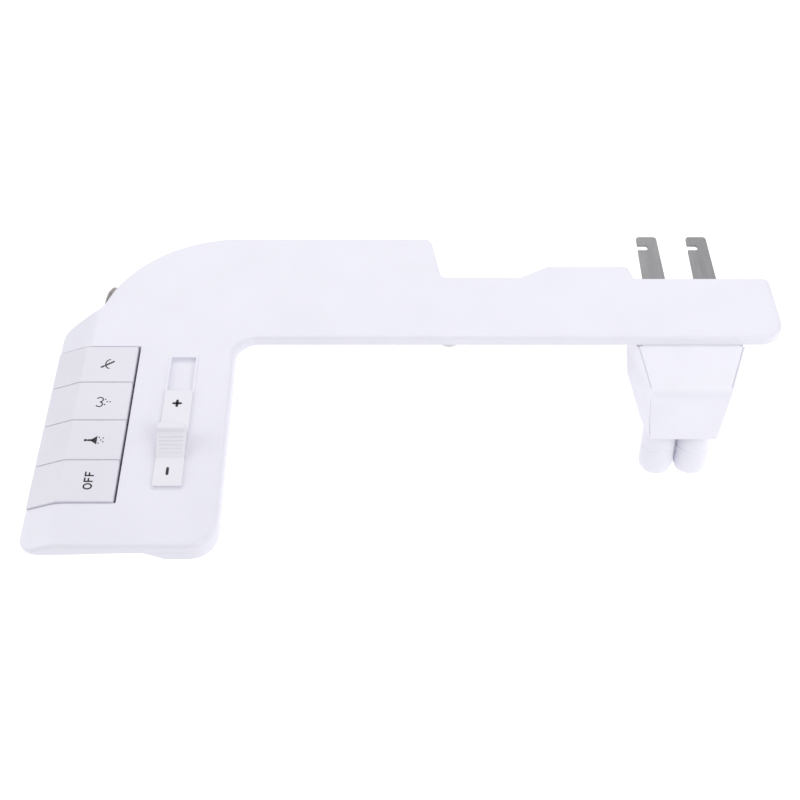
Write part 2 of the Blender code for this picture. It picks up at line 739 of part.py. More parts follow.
def make_nozzle(label, side, parts, cutters):
    """One nozzle: fixed sleeve, moving head with its stem, return spring and piston seal."""
    down = (along_nozzle(side, 1.0) - along_nozzle(side, 0.0)).normalized()
    sleeve_profile = [
        (NOZZLE_RADIUS, SEAM_AT - SLEEVE_START),
        (NOZZLE_RADIUS, 0.0),
        (2.2, 0.0),
        (2.2, 1.6),
        (6.4, 1.6),
        (6.4, SEAM_AT - SLEEVE_START - 1.8),
        (STEM_RADIUS + 0.35, SEAM_AT - SLEEVE_START - 1.8),
        (STEM_RADIUS + 0.35, SEAM_AT - SLEEVE_START),
    ]
    start = along_nozzle(side, SLEEVE_START)
    white(turned(f"nozzle_sleeve_{label}", sleeve_profile, start, down, parts, 24))
    head = turned(
        f"nozzle_{label}_wash",
        [
            (0.0, NOZZLE_END),
            (4.9, NOZZLE_END),
            (NOZZLE_RADIUS - 0.9, NOZZLE_END - 1.5),
            (NOZZLE_RADIUS, NOZZLE_END - 4.5),
            (NOZZLE_RADIUS, SEAM_AT + GAP),
            (STEM_RADIUS, SEAM_AT + GAP),
            (STEM_RADIUS, SLEEVE_START + 6.0),
            (0.0, SLEEVE_START + 6.0),
        ],
        along_nozzle(side, 0.0),
        down,
        parts,
        24,
    )
    white(head)
    seal = [(0.0, 5.6), (6.0, 5.6), (6.0, 2.6), (0.0, 2.6)]
    ring = turned(f"piston_seal_{label}", seal, start, down, parts, 20)
    rubber(ring)
    top = along_nozzle(side, SLEEVE_START + 6.4)
    low = along_nozzle(side, SEAM_AT - 2.6)
    coil_spring(f"nozzle_spring_{label}", top, low, 5.5, 0.4, 4, parts)


def make_nozzle_holder(parts, cutters):
    """The block under the arm that feeds the two sleeves."""
    section = [
        (-14.8, -3.0),
        (-4.6, -3.0),
        (-4.6, -7.0),
        (-12.2, -7.0),
        (-12.2, -10.6),
        (-25.0, -10.6),
        (-25.0, -9.2),
        (-14.8, -7.4),
    ]
    holder = profile_along_x("nozzle_holder", section[::-1], -18.0, 18.0, parts)
    for side in (-1.0, 1.0):
        place = (side * NOZZLE_X, -11.0)
        join(holder, rod("join_spigot", (*place, -4.0), (*place, 1.0), 2.4, cutters, 14))
        cut(holder, rod("cut_way", (*place, -5.8), (*place, 3.0), 1.0, cutters, 10))
        cut(holder, rod("cut_screw", (side * 15.0, -9.0, -8.0), (side * 15.0, -9.0, 0.0), 1.5, cutters, 12))
    return inner(holder)


def make_guard(parts, cutters):
    """The hinged gate: a folded front plate that narrows downwards, with two knuckles."""
    bm = bmesh.new()
    rows = []
    for y, z, half in GUARD_ROWS:
        rows.append([bm.verts.new((side * half * MM, y * MM, z * MM)) for side in (-1.0, 1.0)])
    for upper, lower in zip(rows, rows[1:]):
        bm.faces.new((upper[0], lower[0], lower[1], upper[1]))
    mesh = bpy.data.meshes.new("nozzle_guard")
    bm.to_mesh(mesh)
    bm.free()
    guard = link_mesh("nozzle_guard", mesh, parts)
    skin = guard.modifiers.new("skin", "SOLIDIFY")
    skin.thickness = GUARD_SKIN * MM
    skin.offset = -1.0
    pivot_y, pivot_z = GUARD_PIVOT
    for side in (-1.0, 1.0):
        near = (side * 13.0, pivot_y, pivot_z)
        far = (side * 19.0, pivot_y, pivot_z)
        join(guard, rod("join_knuckle", near, far, 2.2, cutters, 16))
        low, high = sorted((side * 13.0, side * 19.0))
        web = [
            (pivot_y - 5.6, pivot_z - 1.0),
            (pivot_y - 0.5, pivot_z - 2.0),
            (pivot_y - 0.5, pivot_z + 1.6),
            (pivot_y - 3.6, pivot_z + 1.2),
        ]
        join(guard, profile_along_x("join_guard_web", web, low, high, cutters))
        near = (side * 12.0, pivot_y, pivot_z)
        far = (side * 20.0, pivot_y, pivot_z)
        cut(guard, rod("cut_guard_bore", near, far, GUARD_BORE_RADIUS, cutters, 14))
    return white(guard)


def make_housing(parts, cutters):
    """Two flaring side walls behind the gate, tied by a plate under the arm, with the hinge lugs."""
    bm = bmesh.new()
    outline = (
        (-17.9, -3.0, 24.1),
        (-34.4, -16.1, 18.0),
        (-39.6, -40.8, 15.6),
        (-28.0, -42.0, 17.6),
        (-11.0, -27.5, 24.0),
        (-3.0, -20.5, 24.2),
        (-3.0, -0.5, 25.0),
        (-15.0, -0.5, 24.9),
    )
    verts = [bm.verts.new((x * MM, y * MM, z * MM)) for y, z, x in outline]
    bm.faces.new((verts[0], verts[1], verts[4], verts[5]))
    bm.faces.new((verts[1], verts[2], verts[3], verts[4]))
    bm.faces.new((verts[0], verts[5], verts[6], verts[7]))
    bmesh.ops.recalc_face_normals(bm, faces=bm.faces)
    for face in bm.faces:
        if face.normal.x < 0.0:
            face.normal_flip()
    mesh = bpy.data.meshes.new("nozzle_housing")
    bm.to_mesh(mesh)
    bm.free()
    housing = box("nozzle_housing", (-24.4, -15.0, -2.6), (24.4, -3.2, -0.6), parts)
    for name, side in (("join_right_wall", 1.0), ("join_left_wall", -1.0)):
        wall = link_mesh(name, mesh, cutters)
        wall.scale.x = side
        skin = wall.modifiers.new("skin", "SOLIDIFY")
        skin.thickness = 1.4 * MM
        skin.offset = -1.0
        join(housing, wall)
    pivot_y, pivot_z = GUARD_PIVOT
    for side in (-1.0, 1.0):
        low, high = sorted((side * 20.0, side * 21.4))
        near = (low, pivot_y, pivot_z)
        far = (high, pivot_y, pivot_z)
        join(housing, rod("join_lug", near, far, 2.0, cutters, 16))
        arm_low = (low, pivot_y, pivot_z - 2.0)
        arm_high = (high, -12.0, pivot_z + 2.0)
        join(housing, box("join_lug_arm", arm_low, arm_high, cutters))
        near = (side * 19.0, pivot_y, pivot_z)
        far = (side * 21.9, pivot_y, pivot_z)
        cut(housing, rod("cut_lug", near, far, GUARD_BORE_RADIUS, cutters, 14))
        place = (side * NOZZLE_X, -11.0)
        cut(housing, rod("cut_housing_way", (*place, -5.0), (*place, 2.0), 2.8, cutters, 14))
        place = (side * 15.0, -9.0)
        cut(housing, rod("cut_housing_screw", (*place, -5.0), (*place, 2.0), 1.5, cutters, 12))
    white(housing)
    pin = rod("guard_hinge_pin", (-21.3, pivot_y, pivot_z), (21.3, pivot_y, pivot_z), 1.0, parts, 12)
    steel(pin)


def make_hooks_and_pads(parts, cutters):
    half = HOOK_WIDTH / 2.0
    for side, x in zip(("left", "right"), HOOK_CENTRES):
        corners = [
            (x - half, 7.0, 1.0),
            (x + half, 7.0, 1.0),
            (x + half, HOOK_TIP_Y, 1.6),
            (x - half + HOOK_TAPER, HOOK_TIP_Y, 1.6),
        ]
        hook = plate(f"hook_plate_{side}", rounded(corners, 4), HOOK_Z[0], HOOK_Z[1], parts)
        slot = [
            (x - half - 3.0, 45.0, 0.2),
            (x - half + 6.2, 45.0, 1.4),
            (x - half + 6.2, 48.4, 1.4),
            (x - half - 3.0, 48.4, 0.2),
        ]
        cut(hook, plate("cut_hook_slot", rounded(slot, 3), -4.0, 2.0, cutters))
        cut(hook, rod("cut_hook_hole", (x, 12.0, -4.0), (x, 12.0, 2.0), 1.7, cutters, 14))
        steel(hook)
    for index, (x, y) in enumerate(PAD_PLACES):
        pad = rod(f"rest_pad_{index + 1}", (x, y, PAD_LOW_Z), (x, y, -GAP), PAD_RADIUS, parts, 20)
        paint(pad, PALE_RUBBER, 0.6)


def pivot_empty(name, place, pieces, coll):
    """An empty on a joint's axis, which carries the pieces that move about it."""
    empty = bpy.data.objects.new(name, None)
    coll.objects.link(empty)
    empty.location = Vector(place) * MM
    inverse = Matrix.Translation(Vector(place) * MM).inverted()
    for piece in pieces:
        obj = bpy.data.objects[piece]
        obj.parent = empty
        obj.matrix_parent_inverse = inverse


def set_pivots(coll):
    for index, label in enumerate(KEY_NAMES):
        place = (KEY_PIVOT[0], key_centre_y(index), KEY_PIVOT[1])
        pivot_empty("pivot_key_" + label, place, ["key_" + label], coll)
    pivot_empty("pivot_regulator", (*REGULATOR, GEAR_Z[0]), ["regulator_pinion", "regulator_spindle"], coll)
    pivot_empty("pivot_guard", (0.0, *GUARD_PIVOT), ["nozzle_guard"], coll)
    for label, side in (("rear", -1.0), ("front", 1.0)):
        pieces = [f"nozzle_{label}_wash", f"piston_seal_{label}"]
        pivot_empty(f"pivot_nozzle_{label}", along_nozzle(side, SEAM_AT), pieces, coll)
    slider_place = (-228.0, -79.0, PLATE_Z[0])
    pivot_empty("pivot_slider", slider_place, ["pressure_slider", "slider_rack"], coll)


def main():
    clear_scene()
    parts = new_collection("bidet_attachment")
    cutters = new_collection("cutters")
    make_top_cover(parts, cutters)
    make_arm_bottom_cover(parts, cutters)
    make_panel_tray(parts, cutters)
    make_screws(parts)
    for index in range(4):
        make_key(index, parts, cutters)
    for index in range(3):
        make_plunger(index, parts)
    make_key_springs(parts)
    make_key_shaft(parts)
    make_latch(parts, cutters)
    make_valve_body(parts, cutters)
    make_channel_plate(parts, cutters)
    make_track(parts, cutters)
    make_slider(parts, cutters)
    make_regulator(parts, cutters)
    make_rack(parts)
    make_inlet(parts, cutters)
    for label, side in (("rear", -1.0), ("front", 1.0)):
        make_nozzle(label, side, parts, cutters)
    make_nozzle_holder(parts, cutters)
    make_guard(parts, cutters)
    make_housing(parts, cutters)
    make_hooks_and_pads(parts, cutters)
    set_pivots(parts)


main()
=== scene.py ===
"""Looks of the slim bidet attachment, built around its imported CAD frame.

Lengths are millimetres in the part's own frame (+X along the arm, +Y to the rear, +Z up), and
finish_piece() turns them into metres. The stage is in metres. Every piece rides on the body of a
CAD node. All but the printed marks and the housing's front rails also stand for that node.
"""
import json
import math

import bmesh
import bpy
from mathutils import Matrix, Vector


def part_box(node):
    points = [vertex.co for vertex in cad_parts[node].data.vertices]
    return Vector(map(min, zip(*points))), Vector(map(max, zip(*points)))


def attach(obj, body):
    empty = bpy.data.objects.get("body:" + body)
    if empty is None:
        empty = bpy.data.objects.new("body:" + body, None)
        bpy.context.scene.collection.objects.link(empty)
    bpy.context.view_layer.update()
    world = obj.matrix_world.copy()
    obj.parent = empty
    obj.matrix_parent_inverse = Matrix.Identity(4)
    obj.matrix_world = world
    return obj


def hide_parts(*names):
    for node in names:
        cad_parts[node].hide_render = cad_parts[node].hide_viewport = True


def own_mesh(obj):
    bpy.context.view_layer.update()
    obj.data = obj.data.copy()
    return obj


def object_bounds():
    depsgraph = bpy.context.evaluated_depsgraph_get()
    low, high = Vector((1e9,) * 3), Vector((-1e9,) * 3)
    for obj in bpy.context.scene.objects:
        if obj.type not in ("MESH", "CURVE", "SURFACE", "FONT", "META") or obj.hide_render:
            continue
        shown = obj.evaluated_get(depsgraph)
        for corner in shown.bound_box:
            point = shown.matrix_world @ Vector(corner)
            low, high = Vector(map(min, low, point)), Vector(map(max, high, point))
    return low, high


MM = 0.001
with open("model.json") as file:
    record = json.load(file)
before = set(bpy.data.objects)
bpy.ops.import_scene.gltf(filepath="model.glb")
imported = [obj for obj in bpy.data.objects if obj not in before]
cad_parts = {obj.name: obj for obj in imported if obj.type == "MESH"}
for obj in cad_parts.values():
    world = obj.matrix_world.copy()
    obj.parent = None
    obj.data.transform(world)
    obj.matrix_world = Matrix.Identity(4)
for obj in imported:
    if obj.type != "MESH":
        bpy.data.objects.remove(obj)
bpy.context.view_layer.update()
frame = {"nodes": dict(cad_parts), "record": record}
BODY_OF = {node: body for body, nodes in frame["record"]["behaviour"]["bodies"].items() for node in nodes}
SLOT_OF = {part["node"]: part["material_slot"] for part in frame["record"]["subparts"]}


def limits(node):
    """The lowest and highest corners of a CAD node, in millimetres."""
    low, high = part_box(node)
    return low / MM, high / MM


COVER_LOW, COVER_HIGH = limits("top_cover")
KEY_HIGH = limits("key_nozzle_clean")[1]
OFF_LOW = limits("key_off")[0]
TRACK_LOW, TRACK_HIGH = limits("slider_track")
SLIDER_LOW, SLIDER_HIGH = limits("pressure_slider")

# casing
TOP_Z = COVER_HIGH.z
EDGE_LOW_Z = COVER_LOW.z
EDGE_TOP_Z = EDGE_LOW_Z + 0.8
SKIN = 1.6
WALL = 1.5
PANEL_LEFT_X = COVER_LOW.x
PANEL_RIGHT_X = -205.6
PANEL_FRONT_Y = COVER_LOW.y
ARM_FRONT_Y = -19.9
ARM_REAR_Y = 19.6
ARM_RIGHT_X = COVER_HIGH.x
SHOULDER_Y = COVER_HIGH.y
FOLD_X = -271.6
FOLD_DROP = TOP_Z - EDGE_TOP_Z
FOLD_SLOPE = FOLD_DROP / (FOLD_X - PANEL_LEFT_X)
CASING_SOFTNESS = 3.2
WEDGE_X = FOLD_X + 2.0
# the front wall's lower edge ramps down from RAMP_END_X to the wedge
RAMP_END_X = -238.0
RAMP_CUTS_X = (-262.0, -254.0, -246.0)
RAMP_FRONT_Y = -120.0
# the lip under the casing, above the tray's front wall
LIP_X = (-268.4, -234.8)
LIP_Y = (-122.0, -120.6)
LIP_Z = (EDGE_LOW_Z - 0.2, 1.2)
BAY_GAP = 0.4
REAR_BAY_GAP = 1.15
BAY_RIGHT_X = KEY_HIGH.x + 0.9
BAY_REAR_Y = KEY_HIGH.y + REAR_BAY_GAP
BAY_FRONT_Y = OFF_LOW.y - BAY_GAP

# edge rounding of the casing
FRONT_EDGE = 1.9
SIDE_EDGE = 3.0
ARM_EDGE = 1.2
REAR_EDGE = 1.0
LEFT_EDGE = 0.7
BAY_EDGE = 0.35

# the arm's corners: x, y, radius, and the edge radius of the side that follows
ARM_CORNERS = [
    (PANEL_RIGHT_X, ARM_FRONT_Y, 11.0, ARM_EDGE),
    (ARM_RIGHT_X, ARM_FRONT_Y, 11.0, 1.5),
    (ARM_RIGHT_X, ARM_REAR_Y, 3.0, REAR_EDGE),
    (-21.3, ARM_REAR_Y, 1.0, 0.8),
    (-23.6, 28.0, 2.0, REAR_EDGE),
    (-61.3, 28.0, 4.0, REAR_EDGE),
    (-75.0, 20.3, 6.0, REAR_EDGE),
    (-111.8, 20.3, 3.0, REAR_EDGE),
    (-116.0, SHOULDER_Y, 4.0, REAR_EDGE),
    (-253.5, SHOULDER_Y, 62.0, 1.4),
]

# keys
KEY_NAMES = ("nozzle_clean", "rear_wash", "front_wash", "off")
KEY_TOP_Z = KEY_HIGH.z
KEY_FLANGE_Z = 1.7
KEY_SKIN = 1.7
KEY_WALL = 1.3
KEY_SOFTNESS = 0.7
KEY_SPREAD = 0.22
KEY_PIVOT = (-277.0, -3.8)
KEY_POST_X = -256.0
KEY_HUB = ((1.75, -6.0), (3.1, -6.0), (3.1, 6.0), (1.75, 6.0))

# printed marks
INK_LIFT = 0.01
INK_THICKNESS = 0.05
FINE_LINE = 0.5
BOLD_LINE = 0.85
PLUS_AT = (-228.0, -60.5)
MINUS_AT = (-228.3, -97.7)
SIGN_LINE = 1.16
SIGN_REACH = 2.08 - SIGN_LINE / 2.0

# slider
FRAME_X = (SLIDER_LOW.x - 0.2, SLIDER_HIGH.x + 0.15)
FRAME_Y = (SLIDER_LOW.y - 0.45, TRACK_HIGH.y - 0.85)
RECESS_X = (SLIDER_LOW.x + 0.75, SLIDER_HIGH.x - 0.75)
RECESS_Y = (SLIDER_LOW.y + 0.7, TRACK_HIGH.y - 1.45)
KEEL_INSET = 0.95
FLANGE_REACH = 0.3
FLANGE_Z = TOP_Z + 0.03
FLANGE_Z_ROUND = 0.2
FRAME_TOP_Z = TOP_Z + 0.28
TRACK_FLOOR_Z = 3.2
TRACK_SLIT = (-230.2, -86.5, -225.8, -53.5)
PLATE_TOP_Z = 5.8
PLATE_LOW_Z = 3.5
SLIDER_STEM = (-229.5, -85.0, -226.5, -75.5)
RIDGE_Y = -79.0
HUMP_TOP_Z = SLIDER_HIGH.z
HUMP_FOOT_Y = RIDGE_Y - 11.7
RIB_COUNT = 6

# nozzles
NOZZLE_X = 8.15
NOZZLE_TOP_Y = -18.4
NOZZLE_TILT = math.radians(14.0)
NOZZLE_RADIUS = 7.85
SLEEVE_START = 14.0
SEAM_AT = 44.2
NOZZLE_END = 70.2
CAP_AT = 56.0
STEM_RADIUS = 4.6

# gate: its rows are (y, z, half width) at the top, the fold and the foot
GUARD_SKIN = 1.5
GUARD_EDGE = 0.4
GUARD_PIVOT = (-17.8, -4.4)
GUARD_ROWS = ((-20.0, -0.8, 24.65), (-37.0, -15.0, 18.3), (-41.6, -40.6, 15.5))
KNUCKLE_X = 16.0
KNUCKLE = ((1.35, -3.0), (2.0, -3.0), (2.2, -2.8), (2.2, 2.8), (2.0, 3.0), (1.35, 3.0))
# its top edge curls back round the hinge: angle and distance from the pivot
CURL = (
    (121.0, 4.19), (115.0, 4.24), (109.0, 4.27), (103.0, 4.29), (97.0, 4.29),
    (97.0, 3.1), (106.0, 3.1), (116.0, 3.1), (124.0, 3.3),
)
CURL_HALF = 22.3
# the housing's front edges beside the gate, and their section: across and in
RAIL_WIDTH = 0.95
RAIL_GAP = 0.06
RAIL_END = 2.2
RAIL_SECTION = (
    (0.0, 1.2), (0.0, 0.35), (0.12, 0.1), (0.35, 0.0),
    (0.6, 0.0), (0.83, 0.1), (RAIL_WIDTH, 0.35), (RAIL_WIDTH, 1.2),
)

# pads, springs, inlet and screws
PAD_RADIUS = 4.8
# how far the nozzles go out at their limit
NOZZLE_TRAVEL = 18.0
INLET_POINT = (-259.6, 13.2, -7.6)
INLET_OUTWARD = (-0.942, 0.336, 0.0)
INLET_LENGTH = 9.6
INLET_RADIUS = 7.15
FILTER_SEAT = 7.2
THREAD_PITCH = 1.8
THREAD_DEPTH = 0.75
SCREW_HEAD_HEIGHT = 1.5
SCREWS = (
    "tray_screw_1", "tray_screw_2", "tray_screw_3",
    "hook_screw_left", "hook_screw_right", "holder_screw_left", "holder_screw_right",
)

# stage, in metres and watts
FLOOR_SIZE = 6.0
FLOOR_X = -0.12
FLOOR_GAP = 0.0004
FLOOR_GLOW = 0.23
SKY_LIGHT = 0.49
LIGHT_TARGET = (-0.12, -0.03, 0.0)
CAMERA_PLACE = (-0.1455, -0.428, 0.41605)
CAMERA_TILT = math.radians(42.0)
CAMERA_LENS = 57.94
CAMERA_SHIFT = 0.0375
# name, place, width and height, power
SOFTBOXES = (
    ("softbox_left", (-1.05, 0.0, 0.55), (1.1, 0.9), 4.0),
    ("softbox_right_front", (0.40, -0.60, 0.62), (0.5, 0.5), 2.6),
    ("softbox_top", (-0.10, -0.30, 1.2), (0.9, 0.9), 1.5),
    ("softbox_rear", (-0.10, 0.95, 0.75), (1.2, 0.5), 3.3),
    ("softbox_right", (0.75, 0.05, 0.45), (0.6, 0.6), 1.4),
)


# ---------------------------------------------------------------- materials

def noise(tree, scale, detail, stretch=(1.0, 1.0, 1.0), rough=0.5):
    """Object-space noise; scale is in features per metre."""
    coords = tree.nodes.new("ShaderNodeTexCoord")
    mapping = tree.nodes.new("ShaderNodeMapping")
    mapping.inputs["Scale"].default_value = stretch
    texture = tree.nodes.new("ShaderNodeTexNoise")
    texture.inputs["Scale"].default_value = scale
    texture.inputs["Detail"].default_value = detail
    texture.inputs["Roughness"].default_value = rough
    tree.links.new(coords.outputs["Object"], mapping.inputs["Vector"])
    tree.links.new(mapping.outputs["Vector"], texture.inputs["Vector"])
    return texture.outputs["Fac"]


def spread(tree, value, low, high):
    """Map the middle of a noise value to the range low to high."""
    node = tree.nodes.new("ShaderNodeMapRange")
    node.inputs["From Min"].default_value = 0.3
    node.inputs["From Max"].default_value = 0.7
    node.inputs["To Min"].default_value = low
    node.inputs["To Max"].default_value = high
    tree.links.new(value, node.inputs["Value"])
    return node.outputs["Result"]


def surface(name, colour, roughness, metallic=0.0, variation=0.03, patch_scale=45.0, grain=2600.0,
            grain_depth=0.01, stretch=(1.0, 1.0, 1.0), coat=0.0, specular=0.5):
    """A procedural material: patchy colour, patchy roughness and a fine surface grain."""
    material = bpy.data.materials.new(name)
    material.use_nodes = True
    tree = material.node_tree
    shader = tree.nodes["Principled BSDF"]
    shader.inputs["Metallic"].default_value = metallic
    shader.inputs["Specular IOR Level"].default_value = specular
    shader.inputs["Coat Weight"].default_value = coat
    shader.inputs["Coat Roughness"].default_value = 0.12

    mix = tree.nodes.new("ShaderNodeMix")
    mix.data_type = "RGBA"
    mix.inputs["A"].default_value = (*[c * (1.0 - variation) for c in colour], 1.0)
    mix.inputs["B"].default_value = (*[min(1.0, c * (1.0 + variation)) for c in colour], 1.0)
    patches = noise(tree, patch_scale, 3.0, stretch)
    tree.links.new(spread(tree, patches, 0.0, 1.0), mix.inputs["Factor"])
    tree.links.new(mix.outputs["Result"], shader.inputs["Base Color"])

    scuffs = noise(tree, patch_scale * 8.0, 5.0, stretch, 0.65)
    tree.links.new(spread(tree, scuffs, roughness * 0.85, roughness * 1.18), shader.inputs["Roughness"])

    bump = tree.nodes.new("ShaderNodeBump")
    bump.inputs["Strength"].default_value = 0.35
    bump.inputs["Distance"].default_value = grain_depth * MM
    tree.links.new(noise(tree, grain, 2.0, stretch), bump.inputs["Height"])
    tree.links.new(bump.outputs["Normal"], shader.inputs["Normal"])
    return material


MATERIALS = {
    "white_gloss": surface("white_moulded_plastic", (0.80, 0.795, 0.88), 0.34, variation=0.012, coat=0.15),
    "key_white": surface("key_plastic", (0.755, 0.746, 0.82), 0.36, variation=0.012, coat=0.15),
    "pale_rubber": surface("pale_silicone", (0.70, 0.69, 0.73), 0.55, variation=0.05),
    "natural_plastic": surface("natural_acetal", (0.72, 0.74, 0.76), 0.45, variation=0.04),
    "stainless": surface("rolled_stainless", (0.265, 0.26, 0.272), 0.42, 1.0, 0.10, 160.0, 5200.0, 0.012,
                         (1.0, 0.04, 1.0)),
    "spring_steel": surface("spring_wire", (0.45, 0.45, 0.47), 0.28, 1.0, 0.08, 200.0, 5000.0),
    "nickel": surface("satin_nickel", (0.46, 0.44, 0.42), 0.3, 1.0, 0.06, 120.0, 4200.0),
    "rubber": surface("moulded_rubber", (0.035, 0.035, 0.04), 0.72, variation=0.2, grain=1800.0,
                      grain_depth=0.05),
}
# the casing's white plastic painted lighter: painted light for the extra light that falls on the gate, its
# housing and the nozzles
NOZZLE_WHITE_WITH_PAINTED_LIGHT = surface("nozzle_plastic_painted_lighter", (0.85, 0.845, 0.93), 0.34, variation=0.02)
# the key plastic painted lighter: painted light that offsets the shade round the slider's hump and down its
# ribbed ramp
SLIDER_WHITE_WITH_PAINTED_LIGHT = surface("slider_plastic_painted_lighter", (0.80, 0.785, 0.85), 0.36, variation=0.012, coat=0.15)
INK = surface("printed_ink", (0.012, 0.011, 0.013), 0.42, variation=0.25, patch_scale=400.0)


# ---------------------------------------------------------------- mesh helpers

def finish_piece(name, bm, node=None, body=None, material=None, sharp=38.0):
    """Turn a bmesh in millimetres into a piece that rides on a body and stands for a CAD node."""
    bmesh.ops.remove_doubles(bm, verts=bm.verts, dist=0.0005)
    bmesh.ops.recalc_face_normals(bm, faces=bm.faces)
    bm.transform(Matrix.Scale(MM, 4))
    mesh = bpy.data.meshes.new(name)
    bm.to_mesh(mesh)
    bm.free()
    mesh.shade_smooth()
    mesh.set_sharp_from_angle(angle=math.radians(sharp))
    piece = bpy.data.objects.new(name, mesh)
    bpy.context.scene.collection.objects.link(piece)
    weighted = piece.modifiers.new("even_shading", "WEIGHTED_NORMAL")
    weighted.keep_sharp = True
    weighted.weight = 80
    if node:
        body = BODY_OF[node]
        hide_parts(node)
        material = material or MATERIALS[SLOT_OF[node]]
    mesh.materials.append(material)
    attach(piece, body)
    return piece


def add_rings(bm, rings, closed=False):
    """Skin a list of rings with the same number of points; returns the rings of vertices."""
    made = [[bm.verts.new(point) for point in ring] for ring in rings]
    pairs = list(zip(made, made[1:]))
    if closed:
        pairs.append((made[-1], made[0]))
    for first, second in pairs:
        count = len(first)
        for index in range(count):
            after = (index + 1) % count
            bm.faces.new((first[index], first[after], second[after], second[index]))
    return made


def cad_copy(node):
    """A CAD node's mesh, in metres, with the doubled corners of its facets welded."""
    bm = bmesh.new()
    bm.from_mesh(frame["nodes"][node].data)
    bmesh.ops.remove_doubles(bm, verts=bm.verts, dist=0.000002)
    return bm


def middle_of(low, high, z):
    return ((low.x + high.x) / 2.0, (low.y + high.y) / 2.0, z)


def ring_edges(bm, ring):
    edges = []
    for index, vert in enumerate(ring):
        other = ring[(index + 1) % len(ring)]
        edge = bm.edges.get((vert, other)) or bm.edges.new((vert, other))
        edges.append(edge)
    return edges


def fill(bm, *rings):
    """Fill the flat area between one outer ring and any inner rings."""
    edges = [edge for ring in rings for edge in ring_edges(bm, ring)]
    bmesh.ops.triangle_fill(bm, use_beauty=True, use_dissolve=False, edges=edges)


def corner_geometry(corners, index):
    here = Vector(corners[index][:2])
    before = (Vector(corners[index - 1][:2]) - here).normalized()
    after = (Vector(corners[(index + 1) % len(corners)][:2]) - here).normalized()
    convex = before.y * after.x - before.x * after.y > 0.0
    return here, before, after, convex


def outline(corners, chord=1.1):
    """Points (place, inward normal, edge radius) round a counter-clockwise corner list.

    A corner is (x, y, radius, edge radius of the side that follows).
    """
    points = []
    for index, (_, _, radius, edge) in enumerate(corners):
        here, before, after, convex = corner_geometry(corners, index)
        half = before.angle(after) / 2.0
        centre = here + (before + after).normalized() * (radius / math.sin(half))
        first = here + before * (radius / math.tan(half)) - centre
        last = here + after * (radius / math.tan(half)) - centre
        sweep = first.angle_signed(last)
        steps = max(4, math.ceil(abs(sweep) * radius / chord))
        for step in range(steps + 1):
            share = step / steps
            spoke = first.copy()
            spoke.rotate(Matrix.Rotation(-sweep * share, 2))
            inward = -spoke.normalized() if convex else spoke.normalized()
            ease = share * share * (3.0 - 2.0 * share)
            points.append((centre + spoke, inward, corners[index - 1][3] * (1.0 - ease) + edge * ease))
    return points


def inset(corners, distance):
    """Move each side of a corner list inwards."""
    result = []
    for index, (_, _, radius, edge) in enumerate(corners):
        here, before, after, convex = corner_geometry(corners, index)
        normal_in = Vector((before.y, -before.x))
        normal_out = Vector((-after.y, after.x))
        bisector = (normal_in + normal_out).normalized()
        place = here + bisector * (distance / bisector.dot(normal_in))
        radius = max(0.3, radius - distance if convex else radius + distance)
        result.append((place.x, place.y, radius, edge))
    return result


def level(points, z, offset=0.0):
    return [(p.x + n.x * offset, p.y + n.y * offset, z) for p, n, _ in points]


def rounded_edge(points, z, side=1.0, steps=6):
    """Rings that turn a wall into a flat face at z; side is +1 for an outer edge, -1 for a hole."""
    rings = []
    for step in range(steps + 1):
        angle = math.pi / 2.0 * step / steps
        across = side * (1.0 - math.cos(angle))
        down = 1.0 - math.sin(angle)
        rings.append([(p.x + n.x * r * across, p.y + n.y * r * across, z - r * down) for p, n, r in points])
    return rings


def rectangle(low_x, low_y, high_x, high_y, radius, edge):
    return [
        (low_x, low_y, radius, edge),
        (high_x, low_y, radius, edge),
        (high_x, high_y, radius, edge),
        (low_x, high_y, radius, edge),
    ]


def add_slab(bm, corners, low, top, holes=(), cavity=None, ceiling=None, foot=0.15):
    """A plate with rounded upper edges. cavity is the corner list of a hollow that opens downwards."""
    outer = outline(corners)
    rings = [level(outer, low, foot), level(outer, low + foot)] + rounded_edge(outer, top)
    made = add_rings(bm, rings)
    hole_floor = ceiling if cavity else low
    tops = []
    floors = []
    for hole in holes:
        around = outline(hole)
        hole_rings = rounded_edge(around, top, -1.0, 3)[::-1] + [level(around, hole_floor)]
        hole_made = add_rings(bm, hole_rings)
        tops.append(hole_made[0])
        floors.append(hole_made[-1])
    fill(bm, made[-1], *tops)
    if cavity:
        inner = outline(cavity)
        inner_made = add_rings(bm, [level(inner, low), level(inner, ceiling)])
        fill(bm, made[0], inner_made[0])
        fill(bm, inner_made[1], *floors)
    else:
        fill(bm, made[0], *floors)


def lathe_rings(profile, origin, axis, sides=64):
    """Rings of a turned shape. profile is (radius, distance along the axis)."""
    axis = Vector(axis).normalized()
    side = axis.orthogonal().normalized()
    other = axis.cross(side)
    rings = []
    for radius, along in profile:
        centre = Vector(origin) + axis * along
        ring = []
        for step in range(sides):
            angle = math.tau * step / sides
            ring.append(centre + side * (radius * math.cos(angle)) + other * (radius * math.sin(angle)))
        rings.append(ring)
    return rings


def add_lathe(bm, profile, origin, axis, sides=64, closed=False):
    """A turned body: closed for a ring, or with flat ends."""
    made = add_rings(bm, lathe_rings(profile, origin, axis, sides), closed)
    if not closed:
        bm.faces.new(made[0])
        bm.faces.new(made[-1][::-1])


def soften(profile, radius, steps=4):
    """Round the corners of a lathe profile, keeping each corner's size sensible."""
    result = []
    count = len(profile)
    for index in range(count):
        here = Vector(profile[index])
        before = Vector(profile[index - 1]) - here
        after = Vector(profile[(index + 1) % count]) - here
        ends = index in (0, count - 1)
        reach = min(radius, before.length * 0.45, after.length * 0.45)
        if ends or reach < 0.02:
            result.append(tuple(here))
            continue
        start = here + before.normalized() * reach
        end = here + after.normalized() * reach
        for step in range(steps + 1):
            share = step / steps
            point = start.lerp(here, share).lerp(here.lerp(end, share), share)
            result.append(tuple(point))
    return result


